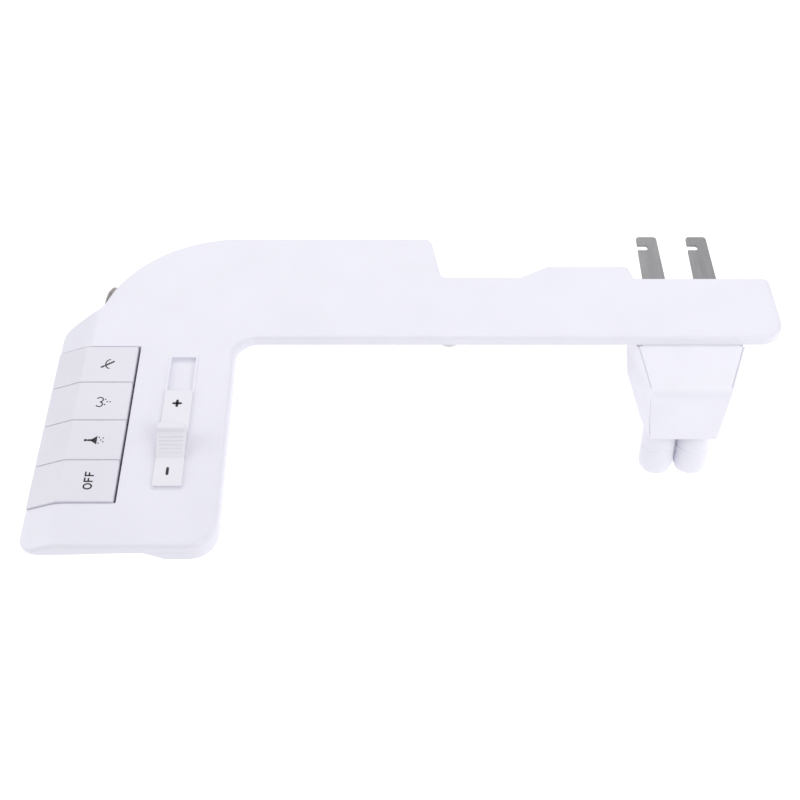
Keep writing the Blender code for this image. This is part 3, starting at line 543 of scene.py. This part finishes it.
def refined(node, bevel, angle=28.0, segments=3, material=None):
    """A copy of a CAD node's own shape with its facets welded and its edges rounded."""
    bm = cad_copy(node)
    bmesh.ops.dissolve_limit(bm, angle_limit=math.radians(0.8), verts=bm.verts, edges=bm.edges)
    bm.transform(Matrix.Scale(1.0 / MM, 4))
    piece = finish_piece(node + "_skin", bm, node, material=material, sharp=angle + 4.0)
    rounder = piece.modifiers.new("rounded_edges", "BEVEL")
    rounder.width = bevel * MM
    rounder.segments = segments
    rounder.limit_method = "ANGLE"
    rounder.angle_limit = math.radians(angle)
    rounder.miter_outer = "MITER_ARC"
    piece.modifiers.move(1, 0)


# ---------------------------------------------------------------- casing

def fold_drop(x, softness):
    """How far the panel's top has dropped at x, with a soft start."""
    past = FOLD_X - x
    if past <= -softness:
        return 0.0
    if past >= softness:
        return FOLD_SLOPE * past
    return FOLD_SLOPE * (past + softness) ** 2 / (4.0 * softness)


def fold_left(bm, softness, low, wedge_low, split_z):
    """Bend what lies above split_z down over the panel's left edge, and thicken the wedge below.

    In front of RAMP_FRONT_Y the lower edge also ramps down to the wedge.
    """
    cuts = [FOLD_X + softness * share for share in (-1.0, -0.6, -0.2, 0.2, 0.6, 1.0)]
    cuts += [WEDGE_X - 0.4, WEDGE_X, *RAMP_CUTS_X, RAMP_END_X]
    for x in cuts:
        geometry = bm.verts[:] + bm.edges[:] + bm.faces[:]
        bmesh.ops.bisect_plane(bm, geom=geometry, dist=0.0001, plane_co=(x, 0, 0), plane_no=(1, 0, 0))
    for vert in bm.verts:
        if vert.co.z > split_z:
            vert.co.z -= fold_drop(vert.co.x, softness)
        elif vert.co.x < WEDGE_X - 0.2:
            vert.co.z += wedge_low - low
        elif vert.co.x < RAMP_END_X and vert.co.y < RAMP_FRONT_Y:
            share = (RAMP_END_X - vert.co.x) / (RAMP_END_X - WEDGE_X)
            vert.co.z += (wedge_low - low) * share * share * (3.0 - 2.0 * share)


def bay_notch(left_x, radius):
    """The corners of the key bay, which opens to the left."""
    return [
        (left_x, BAY_REAR_Y, radius, BAY_EDGE),
        (BAY_RIGHT_X, BAY_REAR_Y, 0.5, BAY_EDGE),
        (BAY_RIGHT_X, BAY_FRONT_Y, 0.5, BAY_EDGE),
        (left_x, BAY_FRONT_Y, radius, LEFT_EDGE),
    ]


def build_top_cover():
    """The L-shaped casing, with the key bay, the slider's opening and the lip over the tray."""
    corners = [
        (PANEL_LEFT_X, PANEL_FRONT_Y, 8.0, FRONT_EDGE),
        (PANEL_RIGHT_X, PANEL_FRONT_Y, 12.0, SIDE_EDGE),
        *ARM_CORNERS,
        (-268.8, -0.1, 12.0, 1.2),
        (PANEL_LEFT_X, -11.4, 11.0, LEFT_EDGE),
        *bay_notch(PANEL_LEFT_X, 0.8),
    ]
    inner_x = WEDGE_X - WALL + 1.0
    cavity = [
        (inner_x, PANEL_FRONT_Y, 3.0, 0.0),
        (PANEL_RIGHT_X, PANEL_FRONT_Y, 12.0, 0.0),
        *ARM_CORNERS,
        (inner_x, -4.2, 6.0, 0.0),
        *bay_notch(inner_x, 0.8),
    ]
    slot = rectangle(FRAME_X[0] - 0.1, FRAME_Y[0] - 0.1, FRAME_X[1] + 0.1, FRAME_Y[1] + 0.1, 0.5, 0.1)
    bm = bmesh.new()
    add_slab(bm, corners, 0.0, TOP_Z, [slot], inset(cavity, WALL), TOP_Z - SKIN)
    fold_left(bm, CASING_SOFTNESS, 0.0, EDGE_LOW_Z, 0.6)
    add_slab(bm, rectangle(LIP_X[0], LIP_Y[0], LIP_X[1], LIP_Y[1], 0.2, 0.1), *LIP_Z)
    finish_piece("top_cover_shell", bm, "top_cover")


# ---------------------------------------------------------------- keys

def build_key(name):
    """A hollow key with its hinge hub and, on all but OFF, the post that pushes its plunger."""
    low, high = limits("key_" + name)
    low.y -= KEY_SPREAD
    if name != KEY_NAMES[0]:
        high.y += KEY_SPREAD
    corners = [
        (low.x, low.y, 0.7, 0.4),
        (high.x, low.y, 0.8, 0.65),
        (high.x, high.y, 0.8, 0.4),
        (low.x, high.y, 0.7, 0.6),
    ]
    hollow = inset(rectangle(WEDGE_X, low.y, high.x, high.y, 1.5, 0.0), KEY_WALL)
    bm = bmesh.new()
    add_slab(bm, corners, KEY_FLANGE_Z, KEY_TOP_Z, (), hollow, KEY_TOP_Z - KEY_SKIN)
    fold_left(bm, KEY_SOFTNESS, KEY_FLANGE_Z, EDGE_LOW_Z, KEY_FLANGE_Z + 0.6)
    middle = (low.y + high.y) / 2.0
    pivot_x, pivot_z = KEY_PIVOT
    add_lathe(bm, KEY_HUB, (pivot_x, middle, pivot_z), (0, 1, 0), 32, True)
    if name != "off":
        post = [(1.7, 0.0), (2.0, 0.3), (2.0, KEY_TOP_Z - 1.2)]
        add_lathe(bm, post, (KEY_POST_X, middle, 0.0), (0, 0, 1), 24)
    finish_piece(f"key_{name}_shell", bm, "key_" + name)


def add_prism(bm, points, z, thickness):
    """A thin flat shape, counter-clockwise seen from above."""
    made = add_rings(bm, [[(x, y, z) for x, y in points], [(x, y, z + thickness) for x, y in points]])
    bm.faces.new(made[0])
    bm.faces.new(made[1])


def add_stroke(bm, places, width, z):
    """A line of ink with round ends through the places."""
    path = [Vector(place) for place in places]
    left = []
    right = []
    for index, point in enumerate(path):
        ahead = path[min(index + 1, len(path) - 1)] - path[max(index - 1, 0)]
        side = Vector((-ahead.y, ahead.x)).normalized() * (width / 2.0)
        left.append(point + side)
        right.append(point - side)
    start = path[0] - path[1]
    end = path[-1] - path[-2]
    caps = []
    for centre, way in ((path[-1], end), (path[0], start)):
        way = way.normalized() * (width / 2.0)
        cap = []
        for step in range(1, 8):
            turned = way.copy()
            turned.rotate(Matrix.Rotation(math.pi / 2.0 - math.pi * step / 8.0, 2))
            cap.append(centre + turned)
        caps.append(cap)
    loop = left + caps[0] + right[::-1] + caps[1]
    add_prism(bm, [tuple(point) for point in loop][::-1], z, INK_THICKNESS)


def add_dot(bm, x, y, radius, z):
    points = []
    for step in range(24):
        angle = math.tau * step / 24
        points.append((x + radius * math.cos(angle), y + radius * math.sin(angle)))
    add_prism(bm, points, z, INK_THICKNESS)


def arc(x, y, radius_x, radius_y, start, end, steps=20):
    """Points on an ellipse between two angles in degrees."""
    points = []
    for step in range(steps + 1):
        angle = math.radians(start + (end - start) * step / steps)
        points.append((x + radius_x * math.cos(angle), y + radius_y * math.sin(angle)))
    return points


def mark_nozzle_clean(bm, x, y, z):
    """A wand that crosses a bowed line."""
    add_stroke(bm, arc(x + 0.9, y, 2.1, 2.7, 100.0, 262.0), FINE_LINE, z)
    add_stroke(bm, [(x - 0.8, y - 0.65), (x + 0.7, y + 0.4), (x + 2.2, y + 1.4)], BOLD_LINE, z)
    add_stroke(bm, [(x - 2.75, y - 1.9), (x - 1.75, y - 1.25)], BOLD_LINE, z)


def mark_rear_wash(bm, x, y, z):
    """Two round lobes with a short spray."""
    add_stroke(bm, arc(x - 1.1, y + 1.35, 1.35, 1.3, 150.0, -80.0), FINE_LINE, z)
    add_stroke(bm, arc(x - 1.1, y - 1.35, 1.35, 1.3, 80.0, -150.0), FINE_LINE, z)
    for across, along in ((1.2, 1.5), (2.1, 0.1), (1.2, -1.5), (3.3, 0.1)):
        add_dot(bm, x + across, y + along, 0.33, z)


def mark_front_wash(bm, x, y, z):
    """A plain figure, a round head and a triangular dress, with a short spray."""
    add_dot(bm, x - 3.3, y, 0.62, z)
    add_stroke(bm, [(x - 2.2, y), (x - 0.4, y)], 0.95, z)
    add_prism(bm, [(x - 1.4, y), (x + 1.5, y - 2.3), (x + 1.5, y + 2.3)], z, INK_THICKNESS)
    for across, along in ((2.3, 1.5), (3.1, 0.1), (2.2, -1.6), (4.0, 1.2), (4.1, -0.9)):
        add_dot(bm, x + across, y + along, 0.31, z)


def mark_off(bm, x, y, z):
    """The word OFF in plain strokes, read from the front to the rear."""
    width = 0.64
    reach = 1.6
    add_stroke(bm, arc(x, y - 3.15, reach, 1.3, 0.0, 180.0), width, z)
    add_stroke(bm, arc(x, y - 3.15, reach, 1.3, 180.0, 360.0), width, z)
    for start in (y - 0.6, y + 2.4):
        add_stroke(bm, [(x + reach, start), (x - reach, start)], width, z)
        add_stroke(bm, [(x - reach, start), (x - reach, start + 1.8)], width, z)
        add_stroke(bm, [(x - 0.05, start), (x - 0.05, start + 1.45)], width, z)


KEY_MARKS = {
    "nozzle_clean": (mark_nozzle_clean, -260.6, -37.0),
    "rear_wash": (mark_rear_wash, -260.2, -59.5),
    "front_wash": (mark_front_wash, -261.0, -80.9),
    "off": (mark_off, -259.9, -102.2),
}


def build_keys():
    for name in KEY_NAMES:
        build_key(name)
        draw, x, y = KEY_MARKS[name]
        bm = bmesh.new()
        draw(bm, x, y, KEY_TOP_Z + INK_LIFT)
        mark = finish_piece(f"mark_{name}", bm, body=BODY_OF["key_" + name], material=INK)


# ---------------------------------------------------------------- slider

def build_track():
    """The frame round the recess, and its floor with the slit for the slider's stem."""
    outer = rectangle(FRAME_X[0], FRAME_Y[0], FRAME_X[1], FRAME_Y[1], 0.6, 0.2)
    recess = rectangle(RECESS_X[0], RECESS_Y[0], RECESS_X[1], RECESS_Y[1], 0.5, 0.2)
    slit = rectangle(*TRACK_SLIT, 1.0, 0.2)
    around = outline(outer)
    inside = outline(recess)
    gap = outline(slit)
    flange = [(place - inward * FLANGE_REACH, inward, FLANGE_Z_ROUND) for place, inward, _ in around]
    rings = [level(around, TRACK_LOW.z), level(around, FLANGE_Z), level(flange, FLANGE_Z)]
    rings += rounded_edge(flange, FRAME_TOP_Z, 1.0, 4)
    rings += rounded_edge(inside, FRAME_TOP_Z, -1.0, 4)[::-1]
    rings += [level(inside, TRACK_FLOOR_Z + 0.15), level(inside, TRACK_FLOOR_Z, 0.1)]
    rings += [level(gap, TRACK_FLOOR_Z), level(gap, TRACK_LOW.z)]
    bm = bmesh.new()
    add_rings(bm, rings, True)
    finish_piece("slider_track_frame", bm, "slider_track")


def add_side_body(bm, section, low_x, high_x, edge):
    """A closed section in Y and Z, extruded along X with rounded ends. section holds (y, z, radius)."""
    points = outline([(y, z, radius, edge) for y, z, radius in section], 0.35)
    rings = []
    steps = 4
    for step in range(steps + 1):
        angle = math.pi / 2.0 * step / steps
        inwards = edge * (1.0 - math.sin(angle))
        x = low_x + edge * (1.0 - math.cos(angle))
        rings.append([(x, p.x + n.x * inwards, p.y + n.y * inwards) for p, n, _ in points])
    rings += [[(low_x + high_x - x, y, z) for x, y, z in ring] for ring in rings[::-1]]
    made = add_rings(bm, rings)
    bm.faces.new(made[0])
    bm.faces.new(made[-1])


def add_hump(bm, low_x, high_x):
    """The thumb hump: steep at the rear, with ribs that fade down its long front ramp."""
    foot = PLATE_TOP_Z - 0.6
    section = [
        (HUMP_FOOT_Y - 1.2, foot, 0.2),
        (RIDGE_Y + 3.0, foot, 0.2),
        (RIDGE_Y + 1.8, HUMP_TOP_Z, 1.0),
        (RIDGE_Y - 1.3, HUMP_TOP_Z, 0.9),
        (RIDGE_Y - 2.2, HUMP_TOP_Z - 1.5, 0.3),
    ]
    add_side_body(bm, section, low_x + 0.1, high_x - 0.1, 0.7)
    start = Vector((RIDGE_Y - 2.6, HUMP_TOP_Z - 1.75))
    end = Vector((HUMP_FOOT_Y, PLATE_TOP_Z))
    for index in range(RIB_COUNT):
        share = (index + 0.75) / (RIB_COUNT + 0.2)
        place = start.lerp(end, share)
        radius = 0.36 - 0.28 * share
        rib = [
            (place.x - radius, place.y - 0.5, radius * 0.4),
            (place.x + radius, place.y - 0.5, radius * 0.4),
            (place.x + radius, place.y + radius, radius * 0.85),
            (place.x - radius, place.y + radius, radius * 0.85),
        ]
        add_side_body(bm, rib, low_x + 1.1, high_x - 1.1, 0.25)


def build_slider():
    """The plate over the frame's rim, its narrower keel in the recess, the hump and the stem."""
    low, high = SLIDER_LOW, SLIDER_HIGH
    bm = bmesh.new()
    plate = rectangle(low.x, low.y, high.x, high.y, 0.8, 0.4)
    add_slab(bm, plate, FRAME_TOP_Z + 0.1, PLATE_TOP_Z)
    inset_low = (low.x + KEEL_INSET, low.y + KEEL_INSET)
    inset_high = (high.x - KEEL_INSET, high.y - KEEL_INSET)
    add_slab(bm, rectangle(*inset_low, *inset_high, 0.5, 0.1), PLATE_LOW_Z, FRAME_TOP_Z + 0.3)
    add_hump(bm, low.x, high.x)
    add_slab(bm, rectangle(*SLIDER_STEM, 0.4, 0.2), low.z, PLATE_LOW_Z + 0.3)
    finish_piece("pressure_slider_thumb", bm, "pressure_slider", material=SLIDER_WHITE_WITH_PAINTED_LIGHT)


def add_bar(bm, place, way_x, way_y):
    """One straight stroke of a plus or minus sign."""
    x, y = place
    across = SIGN_REACH * way_x
    along = SIGN_REACH * way_y
    add_stroke(bm, [(x - across, y - along), (x + across, y + along)], SIGN_LINE, PLATE_TOP_Z + INK_LIFT)


def build_signs():
    """The plus behind the hump and the minus in front of it."""
    bm = bmesh.new()
    add_bar(bm, PLUS_AT, 1.0, 0.0)
    add_bar(bm, PLUS_AT, 0.0, 1.0)
    add_bar(bm, MINUS_AT, 0.0, 1.0)
    marks = finish_piece("marks_plus_minus", bm, body=BODY_OF["pressure_slider"], material=INK)


# ---------------------------------------------------------------- nozzle unit

def guard_path(steps=8, softness=3.6):
    """Rows (y, z, half width) down the gate with a soft fold, each with its outward normal."""
    upper, fold, lower = [Vector(row) for row in GUARD_ROWS]
    start = fold + (upper - fold).normalized() * softness
    end = fold + (lower - fold).normalized() * softness
    rows = [upper, upper + (start - upper).normalized() * 0.15]
    for step in range(steps + 1):
        share = step / steps
        rows.append(start.lerp(fold, share).lerp(fold.lerp(end, share), share))
    rows += [lower + (end - lower) * 0.02, lower]
    result = []
    for index, row in enumerate(rows):
        ahead = rows[min(index + 1, len(rows) - 1)] - rows[max(index - 1, 0)]
        out = Vector((ahead.y, -ahead.x)).normalized()
        result.append((row, out))
    return result


def add_rail(bm, side):
    """The front edge of a housing wall, which shows beside the gate's sloping part."""
    upper, fold, _ = [Vector(row) for row in GUARD_ROWS]
    way = (fold - upper).normalized()
    out = Vector((way.y, -way.x)).normalized()
    rings = []
    stations = (
        (upper + way * 0.2, 0.2),
        (upper + way * 0.5, 0.0),
        (fold - way * 1.1, 0.0),
        (fold - way * 0.7, 0.2),
    )
    for row, trim in stations:
        ring = []
        for across, depth in RAIL_SECTION:
            x = side * (row.z - across)
            ring.append((x, row.x - out.x * (depth + trim), row.y - out.y * (depth + trim)))
        rings.append(ring)
    made = add_rings(bm, rings)
    bm.faces.new(made[0])
    bm.faces.new(made[-1])


def guard_ring(row, out, trim):
    """One cross-section of the gate: two rounded front edges, then two bevelled back ones."""
    steps = 4
    ring = []
    for side in (1.0, -1.0):
        for step in range(steps + 1):
            angle = math.pi / 2.0 * step / steps
            if side < 0.0:
                angle = math.pi / 2.0 - angle
            x = side * (row.z - GUARD_EDGE - trim + GUARD_EDGE * math.cos(angle))
            depth = (GUARD_EDGE + trim) - GUARD_EDGE * math.sin(angle)
            ring.append((x, row.x - out.x * depth, row.y - out.y * depth))
    back = GUARD_SKIN - trim
    for side in (-1.0, 1.0):
        x = side * (row.z - trim)
        inner = side * (row.z - trim - 0.3)
        corner = [(x, back - 0.3), (inner, back)]
        if side > 0.0:
            corner = corner[::-1]
        for place, depth in corner:
            ring.append((place, row.x - out.x * depth, row.y - out.y * depth))
    return ring


def add_curl(bm):
    """The gate's top edge, which curls back round the hinge."""
    pivot_y, pivot_z = GUARD_PIVOT
    section = []
    for degrees, reach in CURL:
        angle = math.radians(degrees)
        section.append((pivot_y + reach * math.cos(angle), pivot_z + reach * math.sin(angle), 0.1))
    add_side_body(bm, section, -CURL_HALF, CURL_HALF, 0.15)


def add_knuckle(bm, side):
    """A hinge knuckle with the web that joins it to the gate."""
    pivot_y, pivot_z = GUARD_PIVOT
    add_lathe(bm, KNUCKLE, (side * KNUCKLE_X, pivot_y, pivot_z), (1, 0, 0), 32, True)
    web = [
        (pivot_y - 5.6, pivot_z - 1.0, 0.3),
        (pivot_y - 1.2, pivot_z - 1.9, 0.3),
        (pivot_y - 1.2, pivot_z + 1.5, 0.3),
        (pivot_y - 3.6, pivot_z + 1.2, 0.3),
    ]
    low_x, high_x = sorted((side * (KNUCKLE_X - 3.0), side * (KNUCKLE_X + 3.0)))
    add_side_body(bm, web, low_x, high_x, 0.2)


def build_guard():
    """The hinged gate: narrower towards its foot, and beside the rails narrower by their width."""
    bm = bmesh.new()
    path = guard_path()
    fold_z = GUARD_ROWS[1][1]
    trims = [0.08] + [0.0] * (len(path) - 2) + [0.25]
    rings = []
    for (row, out), trim in zip(path, trims):
        if row.y > fold_z + RAIL_END:
            row = Vector((row.x, row.y, row.z - RAIL_WIDTH - RAIL_GAP))
        rings.append(guard_ring(row, out, trim))
    made = add_rings(bm, rings)
    bm.faces.new(made[0])
    bm.faces.new(made[-1])
    add_curl(bm)
    add_knuckle(bm, -1.0)
    add_knuckle(bm, 1.0)
    finish_piece("nozzle_guard_gate", bm, "nozzle_guard", material=NOZZLE_WHITE_WITH_PAINTED_LIGHT)


def along_nozzle(side, distance):
    """The point at a distance down a nozzle's own axis; side is -1 for the rear-wash nozzle."""
    down = Vector((0.0, -math.sin(NOZZLE_TILT), -math.cos(NOZZLE_TILT)))
    return Vector((side * NOZZLE_X, NOZZLE_TOP_Y, 0.0)) + down * distance


def build_nozzle(label, side):
    """One nozzle: the fixed sleeve with a lip at its mouth, and the moving head with its cap."""
    origin = along_nozzle(side, 0.0)
    down = along_nozzle(side, 1.0) - origin
    radius = NOZZLE_RADIUS
    bore = STEM_RADIUS + 0.35
    sleeve = [
        (2.2, SLEEVE_START),
        (radius - 0.3, SLEEVE_START),
        (radius - 0.3, SEAM_AT - 2.0),
        (radius, SEAM_AT - 1.7),
        (radius, SEAM_AT),
        (bore, SEAM_AT),
        (bore, SEAM_AT - 1.8),
        (6.4, SEAM_AT - 1.8),
        (6.4, SLEEVE_START + 1.6),
        (2.2, SLEEVE_START + 1.6),
    ]
    bm = bmesh.new()
    add_lathe(bm, soften(sleeve, 0.3), origin, down, 64, True)
    finish_piece(f"nozzle_sleeve_{label}_tube", bm, f"nozzle_sleeve_{label}", material=NOZZLE_WHITE_WITH_PAINTED_LIGHT)
    head = [
        (STEM_RADIUS, SLEEVE_START + 6.0),
        (STEM_RADIUS, SEAM_AT + 0.3),
        (radius - 0.25, SEAM_AT + 0.3),
        (radius, SEAM_AT + 0.9),
        (radius, CAP_AT - 0.5),
        (radius - 0.28, CAP_AT - 0.2),
        (radius - 0.28, CAP_AT + 0.2),
        (radius, CAP_AT + 0.5),
        (radius, NOZZLE_END - 3.6),
        (radius - 1.1, NOZZLE_END - 0.9),
        (radius - 2.6, NOZZLE_END),
    ]
    bm = bmesh.new()
    add_lathe(bm, soften(head, 1.6, 6), origin, down, 64)
    finish_piece(f"nozzle_{label}_head", bm, f"nozzle_{label}_wash", material=NOZZLE_WHITE_WITH_PAINTED_LIGHT)


def build_nozzle_unit():
    build_nozzle("rear", -1.0)
    build_nozzle("front", 1.0)
    build_guard()
    refined("nozzle_housing", 0.3, angle=45.0, material=NOZZLE_WHITE_WITH_PAINTED_LIGHT)
    bm = bmesh.new()
    add_rail(bm, -1.0)
    add_rail(bm, 1.0)
    body = BODY_OF["nozzle_housing"]
    rails = finish_piece("housing_front_rails", bm, body=body, material=NOZZLE_WHITE_WITH_PAINTED_LIGHT)


# ---------------------------------------------------------------- secondary pieces

def build_pads():
    """Turned pads with two shallow grooves in their foot."""
    for index in range(1, 5):
        node = f"rest_pad_{index}"
        low, high = limits(node)
        centre = middle_of(low, high, 0.0)
        foot = low.z
        profile = [
            (0.4, high.z),
            (PAD_RADIUS - 0.15, high.z),
            (PAD_RADIUS, high.z - 0.15),
            (PAD_RADIUS, foot + 0.35),
            (PAD_RADIUS - 0.35, foot),
            (3.9, foot),
            (3.7, foot + 0.3),
            (3.2, foot + 0.3),
            (3.0, foot),
            (2.0, foot),
            (1.8, foot + 0.3),
            (1.3, foot + 0.3),
            (1.1, foot),
            (0.4, foot),
        ]
        bm = bmesh.new()
        add_lathe(bm, profile, centre, (0, 0, 1), 48)
        finish_piece(f"{node}_rubber", bm, node)


def build_inlet():
    """The inlet stub with ring grooves for its thread, and the seat of its filter."""
    radius = INLET_RADIUS
    profile = [(3.2, FILTER_SEAT), (5.2, FILTER_SEAT), (5.2, INLET_LENGTH), (radius - 0.8, INLET_LENGTH)]
    groove = INLET_LENGTH - 0.7
    while groove > 1.4:
        profile += [
            (radius, groove),
            (radius, groove - 0.35),
            (radius - THREAD_DEPTH, groove - 0.85),
            (radius - THREAD_DEPTH, groove - 1.05),
        ]
        groove -= THREAD_PITCH
    profile += [(radius, 0.9), (radius, -1.8), (8.0, -1.8), (8.0, -3.4)]
    profile += [(4.2, -3.4), (4.2, -7.6), (3.2, -7.6)]
    bm = bmesh.new()
    add_lathe(bm, soften(profile, 0.2, 2), INLET_POINT, INLET_OUTWARD, 72, True)
    finish_piece("inlet_fitting_thread", bm, "inlet_fitting")


def build_screws():
    """Screws driven from below, with a round recess in each head."""
    for node in SCREWS:
        low, high = limits(node)
        centre = middle_of(low, high, 0.0)
        head = (high.x - low.x) / 2.0
        seat = low.z + SCREW_HEAD_HEIGHT
        profile = [
            (0.05, high.z),
            (1.1, high.z - 0.1),
            (1.1, seat),
            (head, seat),
            (head, low.z + 0.7),
            (head - 0.7, low.z),
            (0.9, low.z),
            (0.35, low.z + 0.9),
            (0.05, low.z + 0.9),
        ]
        bm = bmesh.new()
        add_lathe(bm, soften(profile, 0.4, 3), centre, (0, 0, 1), 40)
        finish_piece(f"{node}_turned", bm, node)


def add_spring(node, axis):
    """A copy of a CAD spring."""
    bm = cad_copy(node)
    bm.transform(Matrix.Scale(1.0 / MM, 4))
    axis = Vector(axis).normalized()
    piece = finish_piece(node + "_coil", bm, node)
    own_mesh(piece)


def build_springs():
    """The four key springs, the latch's spring and the two nozzle springs."""
    for name in KEY_NAMES:
        add_spring("key_spring_" + name, (0, 0, 1))
    add_spring("latch_spring", (0, 1, 0))
    for label, side in (("rear", -1.0), ("front", 1.0)):
        down = along_nozzle(side, 1.0) - along_nozzle(side, 0.0)
        add_spring(f"nozzle_spring_{label}", down)


def build_secondary():
    refined("panel_tray", 0.5)
    refined("arm_bottom_cover", 0.2)
    for side in ("left", "right"):
        refined(f"hook_plate_{side}", 0.12, segments=2)
    build_inlet()
    build_screws()
    build_springs()
    build_pads()


def dress_cad_nodes():
    """Give every CAD node that stays visible a procedural material."""
    for node, obj in frame["nodes"].items():
        material = MATERIALS[SLOT_OF[node]]
        if not obj.material_slots:
            obj.data.materials.append(material)
        for slot in obj.material_slots:
            slot.material = material


# ---------------------------------------------------------------- stage

def area_light(name, place, size, power):
    light = bpy.data.lights.new(name, "AREA")
    light.shape = "RECTANGLE"
    light.size, light.size_y = size
    light.energy = power
    obj = bpy.data.objects.new(name, light)
    obj.location = place
    obj.rotation_euler = (Vector(LIGHT_TARGET) - Vector(place)).to_track_quat("-Z", "Y").to_euler()
    bpy.context.scene.collection.objects.link(obj)


def build_floor():
    """A pale floor that the nozzles clear even when they are out."""
    low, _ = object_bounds()
    bm = bmesh.new()
    bmesh.ops.create_grid(bm, x_segments=2, y_segments=2, size=FLOOR_SIZE)
    mesh = bpy.data.meshes.new("floor")
    bm.to_mesh(mesh)
    bm.free()
    floor = bpy.data.objects.new("floor", mesh)
    floor.location = (FLOOR_X, 0.0, low.z - NOZZLE_TRAVEL * MM - FLOOR_GAP)
    pale = (0.93, 0.93, 0.93)
    material = surface("pale_floor", pale, 0.8, variation=0.004, patch_scale=3.0, specular=0.2)
    shader = material.node_tree.nodes["Principled BSDF"]
    shader.inputs["Emission Color"].default_value = (1.0, 1.0, 1.0, 1.0)
    shader.inputs["Emission Strength"].default_value = FLOOR_GLOW
    mesh.materials.append(material)
    bpy.context.scene.collection.objects.link(floor)


def build_lights():
    """A white sky and soft boxes round the part."""
    world = bpy.data.worlds.new("studio")
    bpy.context.scene.world = world
    world.use_nodes = True
    background = world.node_tree.nodes["Background"]
    background.inputs["Color"].default_value = (1.0, 1.0, 1.0, 1.0)
    background.inputs["Strength"].default_value = SKY_LIGHT
    for name, place, size, power in SOFTBOXES:
        area_light(name, place, size, power)


def build_camera():
    camera = bpy.data.cameras.new("camera")
    camera.sensor_width = 36.0
    camera.lens = CAMERA_LENS
    camera.shift_x = CAMERA_SHIFT
    view = bpy.data.objects.new("camera", camera)
    view.location = CAMERA_PLACE
    view.rotation_euler = (CAMERA_TILT, 0.0, 0.0)
    bpy.context.scene.collection.objects.link(view)
    bpy.context.scene.camera = view
    bpy.context.scene.view_settings.view_transform = "Standard"


build_top_cover()
build_keys()
build_track()
build_slider()
build_signs()
build_nozzle_unit()
build_secondary()
dress_cad_nodes()
build_floor()
build_lights()
build_camera()
